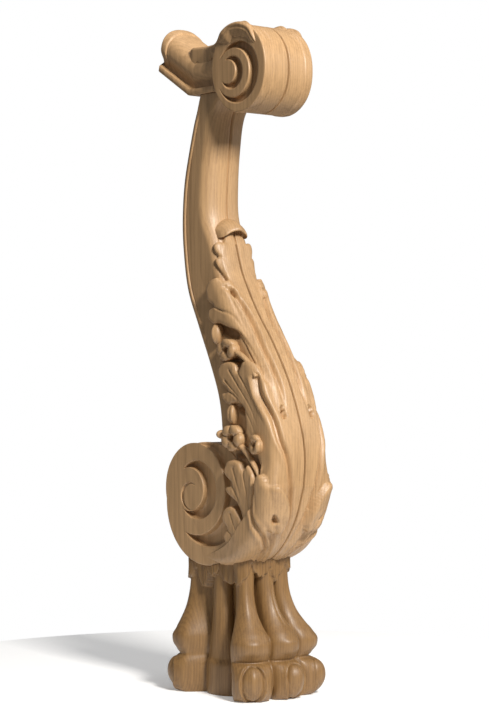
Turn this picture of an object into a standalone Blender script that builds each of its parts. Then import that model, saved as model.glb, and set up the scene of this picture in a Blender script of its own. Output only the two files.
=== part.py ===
"""Carved oak newel post.

An S-shaped scroll, with a roll at the top and a volute at the bottom, stands on a lion-paw foot.
An acanthus leaf climbs its front and sides, and a short moulded handrail leaves the back of the roll.
X points to the front of the post, Y across it, Z up.  The origin is on the floor under the foot.
"""
import math
import bpy
import bmesh
import numpy as np
from mathutils import Vector

# Sizes
FIT_GAP = 0.0003                 # play between touching pieces

# Shaft: stations of the S curve, from the top down.  Each is
# front x, front z, back x, back z, half width as a share of the belly's, crown of the front
SHAFT_STATIONS = (
    (-0.0040, 1.0565, -0.0740, 1.0565, 0.743, 0.008),
    (-0.0310, 1.0160, -0.0860, 1.0180, 0.743, 0.013),
    (-0.0400, 0.9580, -0.1030, 0.9600, 0.743, 0.016),
    (-0.0460, 0.9000, -0.1160, 0.9000, 0.761, 0.016),
    (-0.0460, 0.8400, -0.1200, 0.8350, 0.779, 0.015),
    (-0.0310, 0.7900, -0.1170, 0.7750, 0.805, 0.007),
    (-0.0100, 0.7320, -0.1040, 0.7100, 0.841, 0.006),
    (0.0300, 0.6680, -0.0710, 0.6450, 0.885, 0.006),
    (0.0770, 0.6080, -0.0360, 0.5800, 0.929, 0.006),
    (0.1170, 0.5420, -0.0080, 0.5200, 0.965, 0.007),
    (0.1430, 0.4700, 0.0030, 0.4620, 0.991, 0.006),
    (0.1515, 0.4180, 0.0000, 0.4150, 0.996, 0.006),
    (0.1480, 0.3700, -0.0100, 0.3700, 1.000, 0.006),
)
SHAFT_ROWS_PER_STATION = 2
SHAFT_EDGE = 0.012               # rounding of the front edges
SHAFT_BACK_EDGE = 0.005          # chamfer of the back edges
GROOVE_HALF_WIDTH = 0.0020       # groove down the middle of the front
GROOVE_DEPTH = 0.0040

# Belly: radius from the centre of the volute to the front, every 15 degrees from level down to the foot
BELLY_RADII = (0.174, 0.157, 0.1445, 0.132, 0.1205, 0.1125, 0.1090, 0.1082)
BELLY_CROWN = 0.006

# Lower volute
VOLUTE_CENTRE = (-0.038, 0.3315)
VOLUTE_RADIUS = 0.108
VOLUTE_HALF_WIDTH = 0.0590
VOLUTE_STEPS = 38
VOLUTE_RECESS = 0.0125
VOLUTE_STEP_OUT = 0.0025         # how far the volute's face stands off the side of the belly
BELLY_TAPER = 0.0025             # and how much narrower the belly is at its foot
BELLY_HALF_WIDTH = VOLUTE_HALF_WIDTH - VOLUTE_STEP_OUT
BELLY_FOOT_HALF_WIDTH = BELLY_HALF_WIDTH - BELLY_TAPER
# crescent recesses, each between an outer and an inner circle: x, z, radius, x, z, radius
VOLUTE_CRESCENTS = (
    (-0.0600, 0.3550, 0.0515, -0.0820, 0.3550, 0.0385),
    (-0.0315, 0.3515, 0.0943, -0.0660, 0.3560, 0.0810),
)
VOLUTE_COMMA = (-0.0800, 0.3430, 0.0245, -0.0755, 0.3420, 0.0225)
COMMA_DEPTH = 0.004
CRESCENT_STEPS = 15

# Top roll
ROLL_CENTRE = (0.045, 1.091)
ROLL_RADII = (0.0720, 0.0735, 0.0770, 0.0730, 0.0690, 0.0700, 0.0770, 0.0775)   # every 45 degrees
ROLL_HALF_WIDTH = 0.0560
ROLL_STEPS = 36
ROLL_RECESS = 0.0120
ROLL_CRESCENTS = (
    (0.0295, 1.0835, 0.0283, 0.0185, 1.0860, 0.0210),
    (0.0450, 1.0830, 0.0530, 0.0330, 1.0830, 0.0425),
)
EDGE_EASE = 0.0025               # eased edge of the roll and the volute

# Side leaves: root x, z, middle x, z, tip x, z, half width at root, half width of belly, rise, lift of tip
LEAF_LOBES = (
    (-0.016, 0.702, -0.030, 0.744, -0.035, 0.794, 0.008, 0.009, 0.008, 0.002),
    (0.046, 0.590, 0.000, 0.660, -0.038, 0.728, 0.020, 0.023, 0.009, 0.004),
    (0.088, 0.468, 0.046, 0.516, 0.015, 0.580, 0.021, 0.025, 0.010, 0.006),
    (0.096, 0.480, 0.082, 0.528, 0.062, 0.578, 0.013, 0.015, 0.010, 0.003),
    (0.066, 0.272, 0.050, 0.335, 0.043, 0.416, 0.019, 0.022, 0.010, 0.006),
    (0.084, 0.286, 0.088, 0.335, 0.088, 0.406, 0.017, 0.020, 0.011, 0.004),
    (0.094, 0.300, 0.112, 0.338, 0.119, 0.394, 0.012, 0.015, 0.009, 0.004),
    (0.050, 0.254, 0.034, 0.282, 0.026, 0.333, 0.014, 0.017, 0.010, 0.005),
)
LOBE_ROWS = 5
LOBE_BURY = 0.0135

# Front leaf: how far it wraps over the side at heights down the post, and its scallops
LEAF_TOP_Z = 0.806
LEAF_FOOT_Z = 0.232
LEAF_PROUD = 0.0060
LEAF_WRAP_Z = (0.23, 0.30, 0.42, 0.55, 0.66, 0.74, 0.80)
LEAF_WRAP = (0.030, 0.036, 0.030, 0.026, 0.018, 0.012, 0.004)
LEAF_SCALLOP = 0.058

# Curled tip of the front leaf
TIP_CENTRE = (-0.044, 0.0006, 0.818)
TIP_RADII = (0.019, 0.030, 0.0145)

# Flowers on the sides: x, z, radius of the head, petals
FLOWERS = (
    (0.019, 0.606, 0.0195, 5),
    (0.039, 0.447, 0.0215, 5),
    (0.101, 0.444, 0.0165, 4),
)
FLOWER_STAND = 0.0165            # how far a head stands off the side
PETAL_POINTS = 4
STEM_RADIUS = 0.0034
STEMS = (                        # start x, z, middle x, z, end x, z
    (0.045, 0.600, 0.080, 0.588, 0.106, 0.550),
    (0.070, 0.434, 0.092, 0.420, 0.112, 0.388),
)
BUD = (0.041, 0.491, 0.0085, 0.016)     # x, z, half width, half height

# Leaf over the roll: it runs from the front of the roll over its back and on to the handrail
ROLL_LEAF_START = 52             # degrees round the roll where it starts
ROLL_LEAF_LIFT = 0.0075
ROLL_LEAF_HALF_WIDTH = 0.0560
ROLL_LEAF_END = (-0.112, 1.137)
ROLL_LEAF_LOBES = 5

# Handrail start
JOINT_X = -0.0330                # plane between roll and handrail
RAIL_BOTTOM = 1.0572
RAIL_MITRE_X = -0.1030
RAIL_PITCH = 31.5                # degrees
RAIL_END_X = -0.1880             # lower edge of the end
RAIL_END_LEAN = 12.0             # degrees off plumb
RAIL_HEIGHT = 0.0740
RAIL_HALF_WIDTH = 0.0440
PLATE_THICKNESS = 0.0110
PLATE_LEDGE = 0.0110
COLLAR_LENGTH = 0.0150
COLLAR_PROUD = 0.0022

# Lion-paw foot
FOOT_NECK_X = (-0.091, 0.058)
FOOT_NECK_HALF_WIDTH = 0.0500
FOOT_NECK_TOP = 0.2600
# legs: toe x, y, direction in degrees from the front, toe half width, neck x, y, neck half width, claw
FOOT_LEGS = (
    (0.100, 0.008, 4.0, 0.0330, 0.046, 0.002, 0.0200, True),
    (0.082, 0.068, 36.0, 0.0340, 0.042, 0.037, 0.0210, True),
    (-0.006, 0.046, 90.0, 0.0360, -0.012, 0.037, 0.0175, False),
    (-0.078, 0.064, 142.0, 0.0290, -0.072, 0.037, 0.0170, True),
    (-0.086, 0.000, 180.0, 0.0280, -0.074, 0.000, 0.0170, False),
    (-0.078, -0.064, 218.0, 0.0290, -0.072, -0.037, 0.0170, True),
    (-0.006, -0.046, 270.0, 0.0360, -0.012, -0.037, 0.0175, False),
    (0.086, -0.058, 324.0, 0.0360, 0.042, -0.037, 0.0210, True),
)
CLAW_DEPTH = 0.0170
CLAW_HALF_WIDTH = 0.0185
CLAW_HALF_HEIGHT = 0.0290
CLAW_Z = 0.0320                  # height of the middle of a claw
CLAW_REACH = 0.0195              # from the middle of the toe to the middle of the claw
TOE_TOP = 0.066                  # height of the crease over a toe
KNUCKLE_Z = 0.104
LEG_SIDES = 10
FUR_TUFTS = 11
FUR_LENGTH = 0.032
FUR_ROOT_Z = 0.222               # where the tufts start to taper
FUR_HALF_WIDTH = 0.013

OAK_COLOUR = (0.66, 0.46, 0.27)
OAK_DARK = (0.58, 0.39, 0.22)


# Helpers
def hermite(table, at):
    """Smooth curve through the rows of a table, at a row number that need not be whole."""
    rows = np.asarray(table, dtype=float)
    if rows.ndim == 1:
        rows = rows[:, None]
    slope = np.gradient(rows, axis=0)
    i = min(int(at), len(rows) - 2)
    u = at - i
    value = ((2 * u ** 3 - 3 * u ** 2 + 1) * rows[i] + (u ** 3 - 2 * u ** 2 + u) * slope[i]
             + (3 * u ** 2 - 2 * u ** 3) * rows[i + 1] + (u ** 3 - u ** 2) * slope[i + 1])
    return value if len(value) > 1 else float(value[0])


def round_table(table, degrees):
    """Smooth closed curve through values given at even angles."""
    values = np.asarray(table, dtype=float)
    n = len(values)
    at = (degrees % 360.0) / 360.0 * n
    i = int(at) % n
    u = at - int(at)
    a, b, c, d = (values[(i + k) % n] for k in (-1, 0, 1, 2))
    return (b + 0.5 * u * (c - a) + u * u * (a - 2.5 * b + 2 * c - 0.5 * d)
            + u ** 3 * (1.5 * (b - c) + 0.5 * (d - a)))


def mesh_object(name, verts, faces, collection):
    mesh = bpy.data.meshes.new(name)
    mesh.from_pydata([tuple(v) for v in verts], [], faces)
    bm = bmesh.new()
    bm.from_mesh(mesh)
    bmesh.ops.remove_doubles(bm, verts=bm.verts, dist=0.00002)
    bmesh.ops.recalc_face_normals(bm, faces=bm.faces)
    bm.to_mesh(mesh)
    bm.free()
    obj = bpy.data.objects.new(name, mesh)
    collection.objects.link(obj)
    return obj


def loft(name, sections, collection):
    """Skin between closed sections with the same number of points, capped at both ends."""
    n = len(sections[0])
    verts = [p for s in sections for p in s]
    faces = []
    for i in range(len(sections) - 1):
        for j in range(n):
            k = (j + 1) % n
            faces.append((i * n + j, i * n + k, (i + 1) * n + k, (i + 1) * n + j))
    faces.append(tuple(range(n)))
    last = (len(sections) - 1) * n
    faces.append(tuple(last + j for j in reversed(range(n))))
    return mesh_object(name, verts, faces, collection)


def slab(name, outline, y_low, y_high, collection, ease=0.0):
    """Flat outline in the XZ plane, thick in Y, with eased edges where asked."""
    pts = np.asarray(outline)
    mid = pts.mean(axis=0)
    reach = np.linalg.norm(pts - mid, axis=1)[:, None]
    small = pts - (pts - mid) / reach * ease
    layers = [(small, y_low), (pts, y_low + ease), (pts, y_high - ease), (small, y_high)]
    if not ease:
        layers = layers[1:3]
    return loft(name, [[(p[0], y, p[1]) for p in layer] for layer, y in layers], collection)


def ball(name, centre, radii, collection, around=8, rings=5):
    mesh = bpy.data.meshes.new(name)
    bm = bmesh.new()
    bmesh.ops.create_uvsphere(bm, u_segments=around, v_segments=rings, radius=1.0)
    bmesh.ops.scale(bm, vec=Vector(radii), verts=bm.verts)
    bmesh.ops.translate(bm, vec=Vector(centre), verts=bm.verts)
    bm.to_mesh(mesh)
    bm.free()
    obj = bpy.data.objects.new(name, mesh)
    collection.objects.link(obj)
    return obj


def combine(obj, others, operation):
    for other in others:
        mod = obj.modifiers.new(other.name, 'BOOLEAN')
        mod.operation = operation
        mod.solver = 'EXACT'
        mod.object = other
        other.hide_render = True
        other.display_type = 'WIRE'


def block(name, low, high, collection):
    mesh = bpy.data.meshes.new(name)
    bm = bmesh.new()
    bmesh.ops.create_cube(bm, size=1.0)
    low, high = Vector(low), Vector(high)
    bmesh.ops.scale(bm, vec=high - low, verts=bm.verts)
    bmesh.ops.translate(bm, vec=(low + high) / 2, verts=bm.verts)
    bm.to_mesh(mesh)
    bm.free()
    obj = bpy.data.objects.new(name, mesh)
    collection.objects.link(obj)
    return obj


def mirrored(obj, collection):
    twin = obj.copy()
    twin.data = obj.data.copy()
    twin.name = obj.name + ".far"
    bm = bmesh.new()
    bm.from_mesh(twin.data)
    bmesh.ops.scale(bm, vec=Vector((1, -1, 1)), verts=bm.verts)
    bmesh.ops.reverse_faces(bm, faces=bm.faces)
    bm.to_mesh(twin.data)
    bm.free()
    collection.objects.link(twin)
    return twin


def material(name, colour, roughness):
    mat = bpy.data.materials.new(name)
    mat.use_nodes = True
    shader = mat.node_tree.nodes["Principled BSDF"]
    shader.inputs["Base Color"].default_value = (*colour, 1.0)
    shader.inputs["Roughness"].default_value = roughness
    shader.inputs["Metallic"].default_value = 0.0
    return mat


# Scroll post
def shaft_section(front, back, half, crown, wrap=0.012, proud=0.0):
    """Section across the shaft, from the groove round the far side to the back and home.

    The leaf on the front stands proud of the sides and wraps back over them."""
    front, back = np.array(front), np.array(back)
    length = np.linalg.norm(front - back)
    along = (front - back) / length
    right = []
    right.append((length, GROOVE_HALF_WIDTH))
    for share in (0.42, 0.74):
        right.append((length - crown * share ** 2, half * share))
    right.append((length - crown - SHAFT_EDGE * 0.28, half + proud - SHAFT_EDGE * 0.28))
    right.append((length - crown - SHAFT_EDGE, half + proud))
    right.append((length - crown - SHAFT_EDGE - wrap, half + 0.8 * proud))
    right.append((length - crown - SHAFT_EDGE - wrap - 0.002, half - 0.0003))
    right.append((SHAFT_BACK_EDGE, half))
    right.append((0.0, half - SHAFT_BACK_EDGE))
    half_section = [(length - GROOVE_DEPTH, 0.0)] + right
    whole = half_section + [(u, -y) for u, y in reversed(right)]
    return [(back[0] + along[0] * u, y, back[1] + along[1] * u) for u, y in whole]


def leaf_wrap(z):
    """How far the front leaf wraps back over the side at a height, and how far it stands proud."""
    wrap = float(np.interp(z, LEAF_WRAP_Z, LEAF_WRAP))
    wrap *= 1.0 + 0.22 * math.cos(2 * math.pi * z / LEAF_SCALLOP)
    proud = LEAF_PROUD * min(1.0, max(0.0, (LEAF_TOP_Z - z) / 0.02))
    proud *= min(1.0, max(0.1, (z - LEAF_FOOT_Z) / 0.03))
    return wrap, proud


def belly_front(degrees):
    """Front of the belly, seen from the centre of the volute, degrees below level."""
    r = hermite(BELLY_RADII, degrees / 15.0)
    a = math.radians(-degrees)
    return (VOLUTE_CENTRE[0] + r * math.cos(a), VOLUTE_CENTRE[1] + r * math.sin(a))


def belly_back(front):
    away = np.array(front) - np.array(VOLUTE_CENTRE)
    return tuple(np.array(VOLUTE_CENTRE) + 0.022 * away / np.linalg.norm(away))


def shaft_sections():
    sections = []
    rows = (len(SHAFT_STATIONS) - 1) * SHAFT_ROWS_PER_STATION
    for i in range(rows + 1):
        fx, fz, bx, bz, share, crown = hermite(SHAFT_STATIONS, i / SHAFT_ROWS_PER_STATION)
        half = share * BELLY_HALF_WIDTH
        wrap, proud = leaf_wrap(fz)
        sections.append(shaft_section((fx, fz), (bx, bz), half, crown, wrap, proud))
    for i in range(0, 15):
        degrees = i * 7.5
        front = belly_front(min(degrees, 104.9))
        share = degrees / 105.0
        half = BELLY_HALF_WIDTH + (BELLY_FOOT_HALF_WIDTH - BELLY_HALF_WIDTH) * share
        wrap, proud = leaf_wrap(front[1])
        sections.append(shaft_section(front, belly_back(front), half, BELLY_CROWN, wrap, proud))
    return sections


def circle_outline(centre, radius, steps):
    turn = 2 * math.pi / steps
    return [(centre[0] + radius * math.cos(i * turn), centre[1] + radius * math.sin(i * turn))
            for i in range(steps)]


def roll_outline(steps, grow=0.0):
    pts = []
    for i in range(steps):
        degrees = 360.0 * i / steps
        r = round_table(ROLL_RADII, degrees) + grow
        a = math.radians(degrees)
        pts.append((ROLL_CENTRE[0] + r * math.cos(a), ROLL_CENTRE[1] + r * math.sin(a)))
    return pts


def crescent_outline(ox, oz, orad, ix, iz, irad, steps):
    """Region inside the outer circle and outside the inner one, walked as one closed line."""
    dx, dz = ix - ox, iz - oz
    d = math.hypot(dx, dz)
    a = (orad ** 2 - irad ** 2 + d * d) / (2 * d)
    h = math.sqrt(max(orad ** 2 - a * a, 0.0))
    base = math.atan2(dz, dx)
    start = math.atan2(h, a)
    pts = []
    for i in range(steps + 1):
        t = base + start + (2 * math.pi - 2 * start) * i / steps
        pts.append((ox + orad * math.cos(t), oz + orad * math.sin(t)))
    inner = math.atan2(h, a - d)
    for i in range(1, steps):
        t = base - inner - (2 * math.pi - 2 * inner) * i / steps
        pts.append((ix + irad * math.cos(t), iz + irad * math.sin(t)))
    return pts


def side_half_width(z):
    """Half width of the plain side at a height."""
    heights = [row[1] for row in reversed(SHAFT_STATIONS)]
    halves = [row[4] * BELLY_HALF_WIDTH for row in reversed(SHAFT_STATIONS)]
    low = [(0.22, BELLY_FOOT_HALF_WIDTH), (0.33, BELLY_HALF_WIDTH)]
    return float(np.interp(z, [p[0] for p in low] + heights, [p[1] for p in low] + halves))


def lobe(name, data, collection):
    """One tapering leaf lobe on the near side: rounded across, with a lifted tip."""
    rx, rz, mx, mz, tx, tz, w_root, w_belly, rise, lift = data
    root, mid, tip = np.array((rx, rz)), np.array((mx, mz)), np.array((tx, tz))
    ctrl = 2 * mid - (root + tip) / 2
    sections = []
    for i in range(LOBE_ROWS + 1):
        u = i / LOBE_ROWS
        c = (1 - u) ** 2 * root + 2 * u * (1 - u) * ctrl + u * u * tip
        t = 2 * (1 - u) * (ctrl - root) + 2 * u * (tip - ctrl)
        t /= np.linalg.norm(t)
        n = np.array((-t[1], t[0]))
        if u < 0.6:
            w = w_root + (w_belly - w_root) * math.sin(u / 0.6 * math.pi / 2)
        else:
            w = w_belly * math.sqrt(max(1 - ((u - 0.6) / 0.43) ** 2, 0.0))
        h = rise * (0.55 + 0.45 * u) + lift * u ** 3
        section = []
        for s, k in ((-1, -LOBE_BURY), (-1, 0.25 * h), (-0.62, h), (0, 0.72 * h), (0.62, h),
                     (1, 0.25 * h), (1, -LOBE_BURY)):
            p = c + n * w * s
            section.append((p[0], -(side_half_width(p[1]) + k), p[1]))
        sections.append(section)
    return loft(name, sections, collection)


def flower(name, data, collection):
    """Round head of plump petals round a hollow eye."""
    x, z, radius, petals = data
    y = -side_half_width(z)
    points = PETAL_POINTS * petals
    layers = []
    for share, out, depth in ((0.96, -LOBE_BURY, 0.0), (1.0, 0.40, 0.15), (0.74, 1.0, 0.10), (0.26, 0.62, 0.0)):
        ring = []
        for i in range(points):
            a = 2 * math.pi * i / points
            r = radius * share * (1.0 - depth * (1.0 + math.cos(petals * a)))
            stand = out * (FLOWER_STAND if out > 0 else 1.0)
            ring.append((x + r * math.cos(a), y - stand, z + r * math.sin(a)))
        layers.append(ring)
    return loft(name, layers, collection)


def stem(name, data, collection):
    ax, az, mx, mz, bx, bz = data
    a, m, b = np.array((ax, az)), np.array((mx, mz)), np.array((bx, bz))
    ctrl = 2 * m - (a + b) / 2
    sections = []
    for i in range(5):
        u = i / 4
        c = (1 - u) ** 2 * a + 2 * u * (1 - u) * ctrl + u * u * b
        t = 2 * (1 - u) * (ctrl - a) + 2 * u * (b - ctrl)
        t /= np.linalg.norm(t)
        y = -(side_half_width(c[1]) + 0.0060)
        ring = []
        for k in range(6):
            w = 2 * math.pi * k / 6
            side = STEM_RADIUS * (1.5 - 0.4 * u) * math.cos(w)
            ring.append((c[0] - t[1] * side, y + 2.2 * STEM_RADIUS * math.sin(w), c[1] + t[0] * side))
        sections.append(ring)
    return loft(name, sections, collection)


def roll_leaf(name, collection):
    """Arched leaf over the top of the roll, scalloped on both edges and curled at its end."""
    spine = []
    for degrees in np.linspace(ROLL_LEAF_START, 128, 12):
        r = round_table(ROLL_RADII, degrees)
        a = math.radians(degrees)
        spine.append((ROLL_CENTRE[0] + r * math.cos(a), ROLL_CENTRE[1] + r * math.sin(a)))
    start = np.array(spine[-1])
    end = np.array(ROLL_LEAF_END)
    for share in np.linspace(0.12, 1.0, 10):
        sag = -0.006 * math.sin(math.pi * share)
        p = start + (end - start) * share
        spine.append((p[0], p[1] + sag))
    spine = np.array(spine)
    tangent = np.gradient(spine, axis=0)
    tangent /= np.linalg.norm(tangent, axis=1)[:, None]
    normal = np.stack([tangent[:, 1], -tangent[:, 0]], axis=1)
    sections = []
    rows = len(spine)
    for i in range(rows):
        u = i / (rows - 1)
        scallop = abs(math.sin(math.pi * ROLL_LEAF_LOBES * u))
        grow = min(1.0, 0.15 + 3.2 * u)
        narrow = 1.0 - 0.38 * max(0.0, (u - 0.62) / 0.38) ** 2
        half = ROLL_LEAF_HALF_WIDTH * narrow * (0.94 + 0.06 * scallop)
        lift = ROLL_LEAF_LIFT * grow * (1.0 + 0.6 * max(0.0, (u - 0.7) / 0.3))
        lift *= math.sqrt(max(0.02, 1 - max(0.0, (u - 0.9) / 0.1) ** 2))
        drop = (0.010 + 0.010 * scallop) * min(1.0, 3.0 * u)
        section = []
        for s, out in ((-1.0, -drop), (-0.86, 0.55 * lift), (-0.45, lift), (0.0, 0.8 * lift), (0.45, lift),
                       (0.86, 0.55 * lift), (1.0, -drop), (0.9, -drop - 0.008), (-0.9, -drop - 0.008)):
            q = spine[i] + normal[i] * out
            section.append((q[0], half * s, q[1]))
        sections.append(section)
    return loft(name, sections, collection)


def build_scroll_post(parts, tools):
    body = loft("scroll_post", shaft_sections(), parts)
    volute = slab("volute_disc", circle_outline(VOLUTE_CENTRE, VOLUTE_RADIUS, VOLUTE_STEPS),
                  -VOLUTE_HALF_WIDTH, VOLUTE_HALF_WIDTH, tools, EDGE_EASE)
    roll = slab("roll_disc", roll_outline(ROLL_STEPS), -ROLL_HALF_WIDTH, ROLL_HALF_WIDTH, tools, EDGE_EASE)
    groove = loft("roll_groove", roll_groove_sections(), tools)
    combine(body, [volute, roll], 'UNION')
    # recesses of the spirals, on both faces
    for disc, half, recess, crescents in ((volute, VOLUTE_HALF_WIDTH, VOLUTE_RECESS, VOLUTE_CRESCENTS),
                                          (roll, ROLL_HALF_WIDTH, ROLL_RECESS, ROLL_CRESCENTS)):
        for i, data in enumerate(crescents):
            outline = crescent_outline(*data, CRESCENT_STEPS)
            near = slab(f"{disc.name}_recess{i}", outline, -half - 0.01, -half + recess, tools)
            combine(body, [near, mirrored(near, tools)], 'DIFFERENCE')
    comma = slab("comma", crescent_outline(*VOLUTE_COMMA, CRESCENT_STEPS - 4), -VOLUTE_HALF_WIDTH - 0.01,
                 -VOLUTE_HALF_WIDTH + COMMA_DEPTH, tools)
    combine(body, [comma, mirrored(comma, tools), groove], 'DIFFERENCE')
    carved = []
    for i, data in enumerate(LEAF_LOBES):
        carved.append(lobe(f"lobe{i}", data, tools))
    for i, data in enumerate(FLOWERS):
        carved.append(flower(f"flower{i}", data, tools))
    for i, data in enumerate(STEMS):
        carved.append(stem(f"stem{i}", data, tools))
    bud_y = -(side_half_width(BUD[1]) + 0.005)
    carved.append(ball("bud", (BUD[0], bud_y, BUD[1]), (BUD[2], 0.0095, BUD[3]), tools, 8, 5))
    for piece in carved:
        combine(body, [piece, mirrored(piece, tools)], 'UNION')
    tip = ball("leaf_tip", TIP_CENTRE, TIP_RADII, tools, 11, 7)
    leaf = roll_leaf("leaf_over_roll", tools)
    keep = block("leaf_keep_post", (JOINT_X, -0.2, 1.0), (0.2, 0.2, 1.4), tools)
    combine(leaf, [keep], 'INTERSECT')
    combine(body, [tip, leaf], 'UNION')
    # the roll stops at the handrail joint above the flat top of the shaft
    trim = block("joint_trim", (-0.3, -0.2, RAIL_BOTTOM - FIT_GAP), (JOINT_X, 0.2, 1.4), tools)
    combine(body, [trim], 'DIFFERENCE')
    return body


def roll_groove_sections():
    """Cutter that carries the middle groove round the front of the roll."""
    sections = []
    for degrees in np.linspace(-112, 66, 20):
        a = math.radians(degrees)
        r = round_table(ROLL_RADII, degrees)
        c, s = math.cos(a), math.sin(a)
        ring = []
        for dr, y in ((0.004, GROOVE_HALF_WIDTH * 2), (-GROOVE_DEPTH, 0.0), (0.004, -GROOVE_HALF_WIDTH * 2)):
            ring.append((ROLL_CENTRE[0] + (r + dr) * c, y, ROLL_CENTRE[1] + (r + dr) * s))
        sections.append(ring)
    return sections


# Handrail start
def rail_half_profile(grow=0.0):
    """Half of the handrail section, from the middle of the underside to the crown: across, up."""
    w = RAIL_HALF_WIDTH
    h = RAIL_HEIGHT
    ledge = w - PLATE_LEDGE
    return [(w, 0.0), (w, PLATE_THICKNESS), (ledge + grow, PLATE_THICKNESS + 0.002),
            (ledge + 0.001 + grow, 0.26 * h), (w - 0.004 + grow, 0.40 * h), (w + grow, 0.55 * h),
            (w - 0.003 + grow, 0.74 * h), (w * 0.72 + grow, 0.91 * h + grow), (w * 0.36, 0.985 * h + grow)]


def rail_section(x_bottom, lean, grow=0.0, stretch=1.0):
    """Section whose plane leans back by an angle, standing on the underside of the handrail."""
    if x_bottom >= RAIL_MITRE_X:
        z0 = RAIL_BOTTOM
    else:
        z0 = RAIL_BOTTOM + (RAIL_MITRE_X - x_bottom) * math.tan(math.radians(RAIL_PITCH))
    a = math.radians(lean)
    half = rail_half_profile(grow)
    whole = half + [(-y, v) for y, v in reversed(half)]
    return [(x_bottom + math.sin(a) * v * stretch, y, z0 + math.cos(a) * v * stretch) for y, v in whole]


def build_handrail(parts, tools):
    joint = JOINT_X - FIT_GAP
    mitre_lean = RAIL_PITCH / 2
    mitre_stretch = 1.0 / math.cos(math.radians(mitre_lean))
    end_stretch = 1.0 / math.cos(math.radians(RAIL_PITCH - RAIL_END_LEAN))
    collar_x = RAIL_END_X + COLLAR_LENGTH
    level = [rail_section(joint, 0.0), rail_section(RAIL_MITRE_X, mitre_lean, 0.0, mitre_stretch),
             rail_section(collar_x, RAIL_END_LEAN, 0.0, end_stretch),
             rail_section(collar_x - 0.002, RAIL_END_LEAN, COLLAR_PROUD, end_stretch),
             rail_section(RAIL_END_X, RAIL_END_LEAN, COLLAR_PROUD, end_stretch)]
    rail = loft("handrail_start", level, parts)
    leaf = roll_leaf("leaf_on_rail", tools)
    keep = block("leaf_keep_rail", (-0.3, -0.2, 1.0), (joint, 0.2, 1.4), tools)
    combine(leaf, [keep], 'INTERSECT')
    combine(rail, [leaf], 'UNION')
    return rail


# Lion-paw foot
def leg_sections(toe, direction, toe_half, neck, neck_half, claw):
    """One leg from the neck down over the knuckle to the toe."""
    a = math.radians(direction)
    out = np.array((math.cos(a), math.sin(a)))
    side = np.array((-out[1], out[0]))
    toe, neck = np.array(toe), np.array(neck)
    sections = []
    # height, share of the way out, half width (0 neck, 1 toe), half depth
    rows = ((0.252, 0.00, 0.00, 0.018), (0.195, 0.03, -0.06, 0.018), (0.152, 0.22, 0.02, 0.020),
            (0.126, 0.50, 0.42, 0.025), (KNUCKLE_Z, 0.68, 0.84, 0.030), (0.084, 0.68, 0.86, 0.029),
            (TOE_TOP, 0.58, 0.66, 0.023), (0.058, 0.84, 0.86, 0.026), (0.036, 1.00, 1.00, 0.030),
            (0.013, 0.99, 0.95, 0.029), (0.0, 0.90, 0.70, 0.018))
    if not claw:
        rows = ((0.252, 0.00, 0.00, 0.018), (0.170, 0.10, 0.05, 0.018), (0.110, 0.45, 0.40, 0.018),
                (0.068, 0.70, 0.80, 0.017), (0.058, 0.95, 1.00, 0.020), (0.0, 1.00, 1.06, 0.020))
    for z, share, wide, deep in rows:
        centre = neck + (toe - neck) * share
        half = neck_half + (toe_half - neck_half) * wide
        ring = []
        for k in range(LEG_SIDES):
            w = 2 * math.pi * (k + 0.5) / LEG_SIDES
            c, s = math.cos(w), math.sin(w)
            p = (centre + out * deep * math.copysign(abs(c) ** 0.8, c)
                 + side * half * math.copysign(abs(s) ** 0.8, s))
            ring.append((p[0], p[1], z))
        sections.append(ring)
    return sections


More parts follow.
